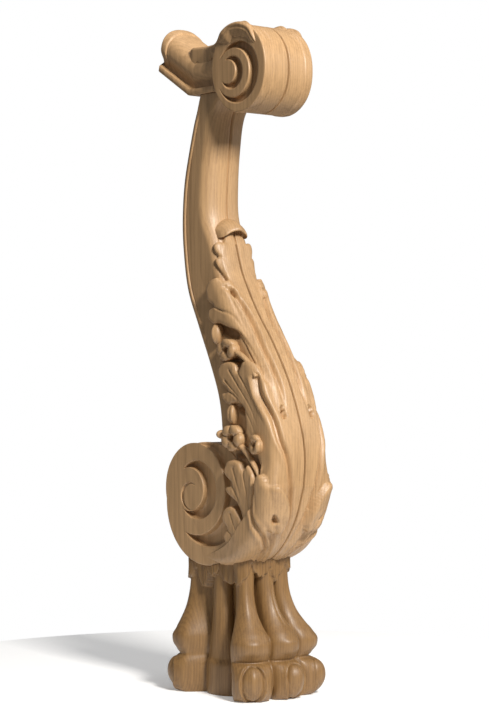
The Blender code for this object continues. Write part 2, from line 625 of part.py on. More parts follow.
def build_foot(parts, tools):
    x0, x1 = FOOT_NECK_X
    mid = (x0 + x1) / 2
    core = []
    for z, grow in ((0.0, 0.006), (0.05, 0.004), (0.12, -0.008), (0.19, -0.006), (FOOT_NECK_TOP, 0.0)):
        ring = []
        for k in range(20):
            w = 2 * math.pi * k / 20
            c, s = math.cos(w), math.sin(w)
            hx, hy = (x1 - x0) / 2 + grow, FOOT_NECK_HALF_WIDTH + grow
            p = 0.45
            ring.append((mid + hx * math.copysign(abs(c) ** p, c), hy * math.copysign(abs(s) ** p, s), z))
        core.append(ring)
    foot = loft("lion_paw_foot", core, parts)
    for i, (tx, ty, direction, toe_half, nx, ny, neck_half, claw) in enumerate(FOOT_LEGS):
        leg = loft(f"leg{i}", leg_sections((tx, ty), direction, toe_half, (nx, ny), neck_half, claw), tools)
        combine(foot, [leg], 'UNION')
        if claw:
            a = math.radians(direction)
            nail = ball(f"claw{i}", (0, 0, 0), (CLAW_DEPTH, CLAW_HALF_WIDTH, CLAW_HALF_HEIGHT), tools, 10, 7)
            nail.rotation_euler = (0, 0, a)
            nail.location = (tx + CLAW_REACH * math.cos(a), ty + CLAW_REACH * math.sin(a), CLAW_Z)
            combine(foot, [nail], 'UNION')
    # ragged fringe of fur round the neck
    tufts = []
    for i in range(FUR_TUFTS):
        w = 2 * math.pi * (i + 0.35) / FUR_TUFTS
        c, s = math.cos(w), math.sin(w)
        p = 0.5
        x = mid + (x1 - x0) / 2 * math.copysign(abs(c) ** p, c)
        y = FOOT_NECK_HALF_WIDTH * math.copysign(abs(s) ** p, s)
        length = FUR_LENGTH * (1.0 + 0.35 * math.sin(2.7 * i + 0.6))
        tufts.append((x, y, c, s, length))
    for i, (x, y, c, s, length) in enumerate(tufts):
        ring = []
        for z, half, out in ((FOOT_NECK_TOP, FUR_HALF_WIDTH, 0.004), (FUR_ROOT_Z, FUR_HALF_WIDTH, 0.005),
                             (FUR_ROOT_Z - 0.6 * length, 0.77 * FUR_HALF_WIDTH, 0.006),
                             (FUR_ROOT_Z - length, 0.15 * FUR_HALF_WIDTH, 0.004)):
            section = []
            for e, d in ((-1, -0.012), (-0.7, out * 0.8), (0.7, out * 0.8), (1, -0.012)):
                section.append((x + c * d - s * half * e, y + s * d + c * half * e, z))
            ring.append(section)
        combine(foot, [loft(f"tuft{i}", ring, tools)], 'UNION')
    # the top is scribed to the underside of the scroll, and the bottom is cut level
    under = []
    for degrees in np.linspace(0, 105, 15):
        under.append(belly_front(min(degrees, 104.9)))
    steps = VOLUTE_STEPS
    for i in range(steps):
        t = math.radians(-105) - 2 * math.pi * i / steps
        if math.degrees(t) < -270:
            break
        under.append((VOLUTE_CENTRE[0] + VOLUTE_RADIUS * math.cos(t),
                      VOLUTE_CENTRE[1] + VOLUTE_RADIUS * math.sin(t)))
    centre = np.array(VOLUTE_CENTRE)
    grown = []
    for p in under:
        away = np.array(p) - centre
        grown.append(tuple(np.array(p) + away / np.linalg.norm(away) * (FIT_GAP + 0.0006)))
    scribe = slab("scribe", grown, -0.12, 0.12, tools)
    combine(foot, [scribe], 'DIFFERENCE')
    above = block("above_neck", (-0.3, -0.3, 0.2440), (0.3, 0.3, 0.5), tools)
    combine(foot, [above], 'DIFFERENCE')
    return foot


def main():
    for obj in list(bpy.data.objects):
        bpy.data.objects.remove(obj, do_unlink=True)
    parts = bpy.data.collections.new("carved_newel_post")
    tools = bpy.data.collections.new("carving_tools")
    bpy.context.scene.collection.children.link(parts)
    bpy.context.scene.collection.children.link(tools)
    oak = material("oak", OAK_COLOUR, 0.55)
    foot_oak = material("oak_foot", OAK_DARK, 0.55)
    rail_oak = material("oak_rail", OAK_COLOUR, 0.50)
    post = build_scroll_post(parts, tools)
    rail = build_handrail(parts, tools)
    foot = build_foot(parts, tools)
    for obj, mat in ((post, oak), (foot, foot_oak), (rail, rail_oak)):
        obj.data.materials.append(mat)


main()
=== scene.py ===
"""Looks of a carved oak newel post: an S-shaped scroll with an acanthus leaf, on a lion-paw foot.

Metres. X points to the front of the post, Y across it, Z up, with the origin on the floor.
"""
import math

import bpy
import numpy as np
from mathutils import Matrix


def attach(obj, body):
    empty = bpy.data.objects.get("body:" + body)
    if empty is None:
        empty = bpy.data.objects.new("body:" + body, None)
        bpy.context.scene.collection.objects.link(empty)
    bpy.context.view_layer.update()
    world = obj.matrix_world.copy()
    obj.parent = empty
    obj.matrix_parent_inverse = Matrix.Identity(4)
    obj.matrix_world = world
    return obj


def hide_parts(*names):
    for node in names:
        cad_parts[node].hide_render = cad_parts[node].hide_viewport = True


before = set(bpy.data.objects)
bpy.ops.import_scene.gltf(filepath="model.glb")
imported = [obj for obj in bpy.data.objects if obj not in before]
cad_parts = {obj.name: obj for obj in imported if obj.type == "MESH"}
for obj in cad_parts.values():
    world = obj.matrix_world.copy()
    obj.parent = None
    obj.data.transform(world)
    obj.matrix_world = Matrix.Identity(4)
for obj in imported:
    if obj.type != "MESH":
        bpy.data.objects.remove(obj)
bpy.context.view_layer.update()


# Scroll shaft.  The S-shaped oak upright: a rounded front with a groove down its middle, flat sides
# with a raised fillet along the back edge, and a belly that rolls under into the lower volute.
# It is sawn from one thick plank, carved, sanded and left in its own colour under clear oil.
# Each row: front x, front z, back x, back z, half width, crown of the front
SHAFT_ROWS = (
    (-0.0040, 1.0565, -0.0740, 1.0565, 0.0420, 0.008),
    (-0.0310, 1.0160, -0.0860, 1.0180, 0.0420, 0.013),
    (-0.0400, 0.9580, -0.1030, 0.9600, 0.0420, 0.016),
    (-0.0460, 0.9000, -0.1160, 0.9000, 0.0430, 0.016),
    (-0.0460, 0.8400, -0.1200, 0.8350, 0.0440, 0.015),
    (-0.0310, 0.7900, -0.1170, 0.7750, 0.0435, 0.008),
    (-0.0100, 0.7320, -0.1040, 0.7100, 0.0430, 0.008),
    (0.0300, 0.6680, -0.0710, 0.6450, 0.0440, 0.008),
    (0.0770, 0.6080, -0.0360, 0.5800, 0.0465, 0.008),
    (0.1170, 0.5420, -0.0080, 0.5200, 0.0505, 0.008),
    (0.1430, 0.4700, 0.0030, 0.4620, 0.0545, 0.007),
    (0.1515, 0.4180, 0.0000, 0.4150, 0.0563, 0.006),
    (0.1480, 0.3700, -0.0100, 0.3700, 0.0565, 0.006),
)
SHAFT_SPACING = 0.0030
VOLUTE_CENTRE = (-0.038, 0.3315)
# radii of the belly about the volute, one every 15 degrees over its sweep
BELLY_RADII = (0.174, 0.157, 0.1445, 0.132, 0.1205, 0.1125, 0.1090, 0.1082)
BELLY_SWEEP = 105
BELLY_CROWN = 0.006
BELLY_HALF = (0.0565, 0.0540)
FRONT_EDGE = 0.012
BACK_EDGE = 0.005
GROOVE_WIDTH = 0.0019
GROOVE_DEPTH = 0.0042
FILLET_WIDTH = 0.0105
FILLET_PROUD = 0.0020
# outer recess of the volute: inside this circle (x, z, radius) the side of the belly is sunk by so much
RECESS_CIRCLE = (-0.0315, 0.3515, 0.0943)
RECESS_SINK = 0.0112
# hollows cut into the side between leaflets and flowers: x, z, half length, half width, lean, depth
HOLLOWS = (
    (0.014, 0.634, 0.033, 0.0100, -18, 0.011), (0.034, 0.583, 0.034, 0.0060, -4, 0.010),
    (0.088, 0.416, 0.030, 0.0100, -35, 0.011), (0.050, 0.424, 0.026, 0.0085, -8, 0.011),
    (0.052, 0.337, 0.022, 0.0080, -38, 0.010), (0.060, 0.500, 0.017, 0.0075, -25, 0.010),
)
# holes drilled into the front under the eyes of the leaf: height along the front, width from the
# groove, half sizes, in mm
EYE_HOLES = ((659, 37, 9, 4), (417, 33, 12, 6))
EYE_DEPTH = 0.010
# how far the carving leans back at a height, in mm
LEAN_BACK = ((400, 0.0), (440, 1.0), (480, 3.2), (530, 5.6), (580, 6.4), (630, 5.4), (680, 3.0),
             (730, 1.0), (780, 0.0))


def through(table, at):
    """Smooth curve through the rows of a table, at fractional row numbers: a cubic between each two
    rows whose slopes are the central differences of the rows."""
    rows = np.asarray(table, float)
    rows = rows[:, None] if rows.ndim == 1 else rows
    at = np.atleast_1d(np.asarray(at, float))
    slope = np.gradient(rows, axis=0)
    i = np.clip(at.astype(int), 0, len(rows) - 2)
    u = (at - i)[:, None]
    value = ((2 * u ** 3 - 3 * u ** 2 + 1) * rows[i] + (u ** 3 - 2 * u ** 2 + u) * slope[i]
             + (3 * u ** 2 - 2 * u ** 3) * rows[i + 1] + (u ** 3 - u ** 2) * slope[i + 1])
    return value[:, 0] if value.shape[1] == 1 else value


def spread(table, count):
    """That many points, evenly by rows, on the smooth curve through a table."""
    return through(table, np.linspace(0, len(table) - 1, count))


def full_turn(count):
    """Angles evenly round a circle, each one once."""
    return np.linspace(0, 2 * math.pi, count, endpoint=False)


def run_along(line):
    """Distance covered from the start of a line to each of its points."""
    return np.concatenate([[0], np.cumsum(np.hypot(*np.diff(line, axis=0).T))])


def headings(line):
    """Unit direction of a line at each of its points, by central differences."""
    ahead = np.gradient(line, axis=0)
    return ahead / np.hypot(*ahead.T)[:, None]


def step(x, low, high):
    """0 below low, 1 above high, and the smooth 3t^2 - 2t^3 between them."""
    t = np.clip((x - low) / (high - low), 0, 1)
    return t * t * (3 - 2 * t)


def fall(x, low, high):
    """The step the other way round: 1 below low and 0 above high."""
    return step(-x, -high, -low)


def bump(x, centre, width):
    """Bell curve of height 1."""
    return np.exp(-((x - centre) / width) ** 2)


def placed(name, data):
    """A new object in the scene, at the origin."""
    obj = bpy.data.objects.new(name, data)
    bpy.context.scene.collection.objects.link(obj)
    return obj


def solid(name, loops, finish):
    """Closed skin over a grid of points: row i is a closed loop, row i + 1 the next one, and both
    ends are closed with a fan to their middle.  Faces are turned outwards by the sign of the volume."""
    rows, around = loops.shape[:2]
    verts = loops.reshape(-1, 3)
    i, j = np.meshgrid(np.arange(rows - 1), np.arange(around), indexing="ij")
    k = (j + 1) % around
    quads = np.stack([i * around + j, i * around + k, (i + 1) * around + k, (i + 1) * around + j], -1)
    quads = quads.reshape(-1, 4)
    j = np.arange(around)
    k = (j + 1) % around
    last = (rows - 1) * around
    fans = np.concatenate([np.stack([j * 0 + len(verts), k, j], -1),
                           np.stack([j * 0 + len(verts) + 1, last + j, last + k], -1)])
    verts = np.concatenate([verts, loops[0].mean(0)[None], loops[-1].mean(0)[None]])
    triangles = np.concatenate([quads[:, :3], quads[:, (0, 2, 3)], fans])
    a, b, c = (verts[triangles[:, n]] for n in range(3))
    if (a * np.cross(b, c)).sum() < 0:
        quads, fans = quads[:, ::-1], fans[:, ::-1]
    corners = np.concatenate([quads.ravel(), fans.ravel()]).astype(np.int32)
    counts = np.concatenate([np.full(len(quads), 4), np.full(len(fans), 3)])
    mesh = bpy.data.meshes.new(name)
    mesh.vertices.add(len(verts))
    mesh.vertices.foreach_set("co", verts.ravel().astype(np.float32))
    mesh.loops.add(len(corners))
    mesh.loops.foreach_set("vertex_index", corners)
    mesh.polygons.add(len(counts))
    mesh.polygons.foreach_set("loop_start", (np.cumsum(counts) - counts).astype(np.int32))
    mesh.polygons.foreach_set("use_smooth", np.ones(len(counts), bool))
    mesh.update()
    mesh.validate()
    mesh.materials.append(finish)
    return placed(name, mesh)


def mirror(loops):
    """The same grid on the other side of the post."""
    return loops * np.array((1, -1, 1))


def leaned(loops):
    """The same grid with its waist drawn back, by a smooth curve over the height."""
    fine = spread(LEAN_BACK, 161)
    back = np.interp(loops[..., 2] * 1000, fine[:, 0], fine[:, 1]) / 1000
    return loops - back[..., None] * np.array((1, 0, 0))


def s_line(spacing):
    """The S of the post as arrays, from the top down, evenly spaced along the front: front point,
    back point, half width, crown and height along the front.  Above, the rows of the table; below,
    radii about the volute."""
    upper = spread(SHAFT_ROWS, 481)
    degrees = np.linspace(0, BELLY_SWEEP, 161)[1:]
    reach = through(BELLY_RADII, degrees / 15)
    a = np.radians(-degrees)
    away = np.stack([np.cos(a), np.sin(a)], -1)
    centre = np.array(VOLUTE_CENTRE)
    front = centre + reach[:, None] * away
    back = centre + 0.022 * away
    half = BELLY_HALF[0] + (BELLY_HALF[1] - BELLY_HALF[0]) * degrees / BELLY_SWEEP
    lower = np.concatenate([front, back, half[:, None], np.full((len(half), 1), BELLY_CROWN)], 1)
    rows = np.concatenate([upper, lower])
    run = run_along(rows[:, :2])
    even = np.linspace(0, run[-1], int(run[-1] / spacing) + 1)
    rows = np.stack([np.interp(even, run, rows[:, n]) for n in range(6)], -1)
    return rows[:, 0:2], rows[:, 2:4], rows[:, 4], rows[:, 5], run[-1] - even


def through_post(front, back):
    """Depth of the post from its front to its back, as a column, and the unit direction that way."""
    depth = np.hypot(*(front - back).T)[:, None]
    return depth, (back - front) / depth


def behind(front, inward, depth):
    """Points that lie behind the front line by the given depths, in the plane of the scroll."""
    return front[:, None] + depth[..., None] * inward[:, None]


def front_depth(share, crown):
    """How far the front lies behind its foremost line at a share of the half width: a superellipse
    that is nearly an ellipse where the crown is high and squarer where it is low."""
    power = 2.0 + 0.6 * np.clip((0.016 - crown) / 0.010, 0, 1)
    return (crown + FRONT_EDGE) * (1 - (1 - np.clip(share, 0, 1) ** power) ** (1 / power))


def sunk_by(x, z):
    """How deep the side is cut at a place: the circle of the volute's outer recess with an eased wall,
    and the oval hollows between the carvings."""
    away = np.hypot(x - RECESS_CIRCLE[0], z - RECESS_CIRCLE[1])
    deepest = RECESS_SINK * fall(away, RECESS_CIRCLE[2] + 0.0005, RECESS_CIRCLE[2] + 0.0030)
    for hx, hz, long, wide, lean, deep in HOLLOWS:
        c, s = math.cos(math.radians(lean)), math.sin(math.radians(lean))
        away = np.hypot(((x - hx) * c + (z - hz) * s) / long, ((z - hz) * c - (x - hx) * s) / wide)
        deepest = np.maximum(deepest, deep * fall(away, 0.62, 1.12))
    return deepest


def dial(node, values):
    """Set the sockets of a node by their names."""
    for name, value in values.items():
        node.inputs[name].default_value = value


def oak_figure():
    """Node group for solid oak: growth rings round a heart that lies to one side of the post and leans
    a little, long fibres, short dark pores and slow changes of tone, all running up the post."""
    tree = bpy.data.node_groups.new("oak_figure", "ShaderNodeTree")
    face = tree.interface
    for name, way, kind in (("Vector", "INPUT", "Vector"), ("Ring", "INPUT", "Float"),
                            ("Tone", "INPUT", "Float"), ("Light", "INPUT", "Color"),
                            ("Dark", "INPUT", "Color"), ("Color", "OUTPUT", "Color"),
                            ("Roughness", "OUTPUT", "Float"), ("Height", "OUTPUT", "Float")):
        face.new_socket(name=name, in_out=way, socket_type="NodeSocket" + kind)
    nodes, links = tree.nodes, tree.links
    inside, outside = nodes.new("NodeGroupInput"), nodes.new("NodeGroupOutput")

    # each of these adds one node and gives its output
    def mapped(scale, turn=(0, 0, 0), shift=(0, 0, 0)):
        node = nodes.new("ShaderNodeMapping")
        dial(node, {"Scale": scale, "Rotation": [math.radians(t) for t in turn], "Location": shift})
        links.new(inside.outputs["Vector"], node.inputs["Vector"])
        return node.outputs[0]

    def noise(vector, scale, detail, rough=0.5):
        node = nodes.new("ShaderNodeTexNoise")
        dial(node, {"Scale": scale, "Detail": detail, "Roughness": rough})
        links.new(vector, node.inputs["Vector"])
        return node.outputs[0]

    def math_node(operation, a, b=None, clamp=False):
        node = nodes.new("ShaderNodeMath")
        node.operation = operation
        node.use_clamp = clamp
        for n, value in enumerate((a, b)):
            if isinstance(value, float):
                node.inputs[n].default_value = value
            elif value is not None:
                links.new(value, node.inputs[n])
        return node.outputs[0]

    def plus(a, b, clamp=False):
        return math_node("ADD", a, b, clamp)

    def minus(a, b):
        return math_node("SUBTRACT", a, b)

    def times(a, b):
        return math_node("MULTIPLY", a, b)

    def ramp(value, low, high):
        node = nodes.new("ShaderNodeMapRange")
        node.interpolation_type = "SMOOTHSTEP"
        dial(node, {"From Min": low, "From Max": high})
        links.new(value, node.inputs["Value"])
        return node.outputs[0]

    # rings: the distance from the heart, swayed, times rings per metre; each darkens slowly, ends sharply
    heart = mapped((1, 1, 1), (1.2, 0.8, 0), (0.03, 0.27, 0))
    sway = noise(mapped((1, 1, 0.22)), 7.0, 2.0)
    split = nodes.new("ShaderNodeSeparateXYZ")
    links.new(heart, split.inputs[0])
    across = plus(times(split.outputs[0], split.outputs[0]), times(split.outputs[1], split.outputs[1]))
    reach = plus(math_node("SQRT", across), times(sway, 0.035))
    saw = math_node("FRACT", times(reach, inside.outputs["Ring"]))
    late = times(ramp(saw, 0.25, 0.92), minus(1.0, ramp(saw, 0.93, 1.0)))
    # fibres, streaks, pores and slow tone: noises stretched up the post
    fibre = noise(mapped((1, 1, 0.018)), 620.0, 3.0, 0.6)
    streak = noise(mapped((1, 1, 0.03)), 120.0, 3.0, 0.55)
    pores = ramp(noise(mapped((1, 1, 0.030)), 1500.0, 1.0), 0.60, 0.72)
    slow = noise(mapped((1, 1, 0.35)), 9.0, 2.0)
    dark = times(late, 0.20)
    for mask, middle, weight in ((fibre, 0.5, 0.75), (streak, 0.5, 0.95), (slow, 0.45, 0.55)):
        dark = plus(dark, times(minus(mask, middle), weight))
    dark = plus(plus(dark, times(pores, 0.26)), inside.outputs["Tone"], True)
    mix = nodes.new("ShaderNodeMix")
    mix.data_type = "RGBA"
    links.new(dark, mix.inputs[0])
    links.new(inside.outputs["Light"], mix.inputs[6])
    links.new(inside.outputs["Dark"], mix.inputs[7])
    links.new(mix.outputs[2], outside.inputs["Color"])
    links.new(plus(times(dark, 0.16), 0.44), outside.inputs["Roughness"])
    height = minus(minus(times(fibre, 0.6), times(pores, 0.9)), times(late, 0.25))
    links.new(height, outside.inputs["Height"])
    return tree


OAK_FIGURE = oak_figure()


def oak_finish(name, light, dark, ring=210.0, tone=0.10, coat=0.12):
    """Oiled oak: the figure gives colour, roughness and a fine relief of fibres and pores."""
    finish = bpy.data.materials.new(name)
    finish.use_nodes = True
    nodes, links = finish.node_tree.nodes, finish.node_tree.links
    shader = nodes["Principled BSDF"]
    where = nodes.new("ShaderNodeTexCoord")
    figure = nodes.new("ShaderNodeGroup")
    figure.node_tree = OAK_FIGURE
    dial(figure, {"Ring": ring, "Tone": tone, "Light": (*light, 1), "Dark": (*dark, 1)})
    relief = nodes.new("ShaderNodeBump")
    dial(relief, {"Strength": 0.35, "Distance": 0.0005})
    links.new(where.outputs["Object"], figure.inputs["Vector"])
    links.new(figure.outputs["Color"], shader.inputs["Base Color"])
    links.new(figure.outputs["Roughness"], shader.inputs["Roughness"])
    links.new(figure.outputs["Height"], relief.inputs["Height"])
    links.new(relief.outputs[0], shader.inputs["Normal"])
    dial(shader, {"Coat Weight": coat, "Coat Roughness": 0.35})
    return finish


oak = oak_finish("oak", (0.500, 0.305, 0.146), (0.215, 0.118, 0.048))

# one loop of the shaft's skin: the rounded front with its groove and eye holes, the side, the fillet,
# the rounded back edge and the plain back, then the same again on the far side
FRONT, BACK, HALF, CROWN, RISE = s_line(SHAFT_SPACING)
depth, inward = through_post(FRONT, BACK)
half, crown = HALF[:, None], CROWN[:, None]
share = np.concatenate([(0.0, 0.016, 0.032, 0.048, 0.064, 0.085, 0.115),
                        np.sin(np.linspace(0.17, math.pi / 2, 18))])
front_y = half * share
front_t = front_depth(share, crown) + GROOVE_DEPTH * bump(front_y, 0, GROOVE_WIDTH)
for ef, eq, hf, hq in EYE_HOLES:
    away = np.hypot((RISE[:, None] * 1000 - ef) / hf, ((front_y + front_t) * 1000 - eq) / hq)
    front_t = front_t + EYE_DEPTH * fall(away, 0.70, 1.25)
edge = crown + FRONT_EDGE
side_t = edge + (depth - FILLET_WIDTH - 0.0022 - edge) * np.linspace(0, 1, 43)[1:]
strip_t = depth - FILLET_WIDTH + np.array((-0.0008, -0.0002, 0.0004, 0.0014, 0.003, 0.0052))
proud = FILLET_PROUD * (step(FRONT[:, 1], 0.60, 0.72) * fall(FRONT[:, 1], 1.0, 1.03))[:, None]
lift = np.array((-0.35, 0.0, 0.7, 1.0, 1.0, 0.9))
turn = np.linspace(0, math.pi / 2, 5)
round_t = depth - BACK_EDGE * (1 - np.sin(turn))
round_y = half + 0.7 * proud - BACK_EDGE * (1 - np.cos(turn))
back_y = (half + 0.7 * proud - BACK_EDGE) * np.linspace(1, 0, 9)[1:]
half_t = np.concatenate([front_t, side_t, strip_t, round_t, depth + 0 * back_y], 1)
half_y = np.concatenate([front_y, half + 0 * side_t, half + proud * lift, round_y, back_y], 1)
loop_t = np.concatenate([half_t, half_t[:, -2:0:-1]], 1)
loop_y = np.concatenate([-half_y, half_y[:, -2:0:-1]], 1)
spot = behind(FRONT, inward, loop_t)
# where the side is cut, the skin goes no further out than the bottom of the cut
sunk = half - sunk_by(spot[..., 0], spot[..., 1])
loop_y = np.where(sunk < half, np.clip(loop_y, -sunk, sunk), loop_y)
shaft = solid("scroll_shaft", leaned(np.stack([spot[..., 0], loop_y, spot[..., 1]], -1)), oak)
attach(shaft, "root")
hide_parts("scroll_post")


# Lower volute and top roll.  Round cheeks at both ends of the S, turned and carved from the same oak:
# a spiral is cut into each face as crescents that run out to nothing, and the roll's rim carries on
# the groove of the shaft between two fine lines.
VOLUTE_RADIUS = 0.108
VOLUTE_HALF = 0.0590
# crescents from the eye outwards: outer circle x, z, radius; inner circle x, z, radius; depth
VOLUTE_CRESCENTS = (
    (-0.0800, 0.3430, 0.0245, -0.0755, 0.3420, 0.0225, 0.0045),
    (-0.0600, 0.3550, 0.0515, -0.0820, 0.3550, 0.0385, 0.0125),
    (*RECESS_CIRCLE, -0.0660, 0.3560, 0.0810, 0.0125),
)
VOLUTE_EYE = (-0.0800, 0.3480)
ROLL_CENTRE = (0.045, 1.091)
ROLL_RADII = (0.0720, 0.0730, 0.0752, 0.0730, 0.0690, 0.0700, 0.0770, 0.0775)   # every 45 degrees
ROLL_HALF = 0.0560
ROLL_CRESCENTS = (
    (0.0295, 1.0835, 0.0283, 0.0185, 1.0860, 0.0210, 0.0120),
    (0.0450, 1.0830, 0.0530, 0.0330, 1.0830, 0.0425, 0.0120),
)
ROLL_EYE = (0.0185, 1.0860)
ROLL_LINE = 0.0372            # fine line on the roll's rim: distance from its middle
ROLL_BANDS = ((0.0465, 0.0022), (0.0320, 0.0024), (0.0390, 0.0020))   # hollows: distance, width
EASED = 0.0022                # rounding between a cheek and its rim
LIP = 0.0012                  # rounding between the land and the wall of a crescent
LAND = 0.0035                 # a crescent that comes nearer to the rim than this runs out through it
LEAST_WIDTH = 0.0004          # width at which a crescent has no depth
FULL_WIDTH = 0.0075           # further width at which it has all its depth
# a wall's section from land to floor: place across it, share of the depth
WALL = ((0.0, 0.0), (0.35, 0.06), (0.55, 0.25), (0.75, 0.72), (1.1, 0.94), (1.7, 1.0))


def circle(x, z, radius, turn):
    """Points of a circle at the given angles."""
    return np.stack([x + radius * np.cos(turn), z + radius * np.sin(turn)], -1)


def roll_radius(turn):
    """Radius of the roll at an angle: a closed cubic through eight values."""
    values = np.array(ROLL_RADII)
    at = (turn / (2 * math.pi) * 8) % 8
    i = at.astype(int)
    u = at - i
    a, b, c, d = (values[(i + k) % 8] for k in (-1, 0, 1, 2))
    return (b + 0.5 * u * (c - a) + u * u * (a - 2.5 * b + 2 * c - 0.5 * d)
            + u ** 3 * (1.5 * (b - c) + 0.5 * (d - a)))


def reach_to(eye, outline, turn):
    """Distance from the eye to a closed outline round it, along each direction."""
    away = outline - np.array(eye)
    angle = np.arctan2(away[:, 1], away[:, 0])
    order = np.argsort(angle)
    return np.interp(turn, angle[order], np.hypot(*away.T)[order], period=2 * math.pi)


def cheeks(name, eye, crescents, outline, half, rim_shape, around, across):
    """A round cheek with a spiral on both faces.  Rings run from the eye outwards: over the land, down
    the eased wall of each crescent, along its floor, up again, over the rim and back on the far face."""
    turn, fine = full_turn(around), full_turn(1440)
    reaches, sinks = [], []
    edge_at = np.zeros(around)
    border = reach_to(eye, outline(fine), turn)
    for ox, oz, orad, ix, iz, irad, deep in crescents:
        inner = reach_to(eye, circle(ix, iz, irad, fine), turn)
        outer = np.maximum(reach_to(eye, circle(ox, oz, orad, fine), turn), inner + LEAST_WIDTH)
        through_edge = outer > border - LAND
        outer = np.minimum(outer, border - LAND)
        width = np.maximum(outer - inner, LEAST_WIDTH)
        floor = deep * np.clip((width - LEAST_WIDTH) / FULL_WIDTH, 0, 1) ** 0.75
        ease = np.minimum(0.0016, 0.2 * width)
        for share in np.linspace(0, 1, 8)[1:]:
            reaches.append(edge_at + (inner - LIP - edge_at) * share)
            sinks.append(0 * turn)
        for out, sink in WALL:
            reaches.append(inner - LIP * (1 - min(out / 0.35, 1.0)) + ease * max(out - 0.35, 0))
            sinks.append(floor * sink)
        for share in (0.35, 0.65):
            reaches.append(inner + width * share)
            sinks.append(floor)
        for out, sink in WALL[::-1]:
            reaches.append(outer + LIP * (1 - min(out / 0.35, 1.0)) - ease * max(out - 0.35, 0))
            sinks.append(np.where(through_edge, floor, floor * sink))
        edge_at = outer + LIP
        rest = np.where(through_edge, floor, 0)
    for share in np.linspace(0, 1, 9)[1:]:
        reaches.append(edge_at + (border - EASED - edge_at) * share)
        sinks.append(rest)
    for a in np.radians((22, 45, 68, 90)):
        reaches.append(border - EASED * (1 - math.sin(a)))
        sinks.append(rest + EASED * (1 - math.cos(a)))
    # no ring may fall behind the one before it
    reaches = np.maximum.accumulate(np.array(reaches) + 1e-5 * np.arange(len(reaches))[:, None], axis=0)
    sinks = np.array(sinks)
    y = np.linspace(-1, 1, across)[1:-1, None]
    y = (0.25 * y + 0.75 * np.sign(y) * np.abs(y) ** 1.8) * (half - sinks[-1])
    inset = rim_shape(y, turn[None], border)
    all_reach = np.concatenate([reaches, border - inset, reaches[::-1]])
    all_y = np.concatenate([-half + sinks, y, half - sinks[::-1]])
    grid = np.stack([eye[0] + all_reach * np.cos(turn), all_y, eye[1] + all_reach * np.sin(turn)], -1)
    return solid(name, grid, oak)


def volute_rim(y, turn, border):
    """The volute's rim is plain."""
    return 0 * y + 0 * turn


def roll_rim(y, turn, border):
    """Insets of the roll's rim: the middle groove, a fine line near each edge with a raised band
    outside it and, towards the top, shallow hollows that run up under the pipes of the leaf."""
    x = ROLL_EYE[0] + border * np.cos(turn) - ROLL_CENTRE[0]
    z = ROLL_EYE[1] + border * np.sin(turn) - ROLL_CENTRE[1]
    angle = np.degrees(np.arctan2(z, x))
    front = step(angle, -118, -108) * fall(angle, 94, 104)
    width = np.abs(y)
    lines = 0.0075 * fall(width, 0.0010, 0.0026) + 0.0011 * bump(width, ROLL_LINE, 0.0013)
    bands = 0.0032 * sum(bump(width, at, wide) for at, wide in ROLL_BANDS)
    lines = lines + bands * step(angle, 12, 70) * fall(angle, 100, 120)
    return lines * front - 0.0012 * front * step(width, ROLL_LINE, 0.0385) * fall(width, 0.050, 0.053)


volute = cheeks("lower_volute", VOLUTE_EYE, VOLUTE_CRESCENTS,
                lambda t: circle(*VOLUTE_CENTRE, VOLUTE_RADIUS, t), VOLUTE_HALF, volute_rim, 320, 36)
roll = cheeks("top_roll", ROLL_EYE, ROLL_CRESCENTS,
              lambda t: circle(*ROLL_CENTRE, roll_radius(t), t), ROLL_HALF, roll_rim, 280, 84)
for piece in (volute, roll):
    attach(piece, "root")


# Acanthus leaf.  One large leaf, carved in the solid, climbs from under the belly to its curled tip at
# mid height.  Its two halves meet at the groove and wrap round the front edges on to the sides, where
# leaflets with toothed edges stand off the wood.  Pipes run down from the eyes between the leaflets.
#
# Heights along the front are measured from the foot of the belly, widths from the groove, in mm.
LEAF_TOP = 788.0
LEAF_SPACING = 0.00144
# left edge of the blade: height along the front, width from the groove
BLADE_EDGE = ((0, 66), (60, 84), (120, 96), (200, 104), (250, 96), (290, 90), (330, 94), (376, 108),
              (400, 116), (430, 110), (470, 74), (490, 56), (530, 57), (560, 58), (600, 60), (640, 60),
              (668, 40), (690, 38), (720, 42), (745, 36), (762, 26), (790, 19))
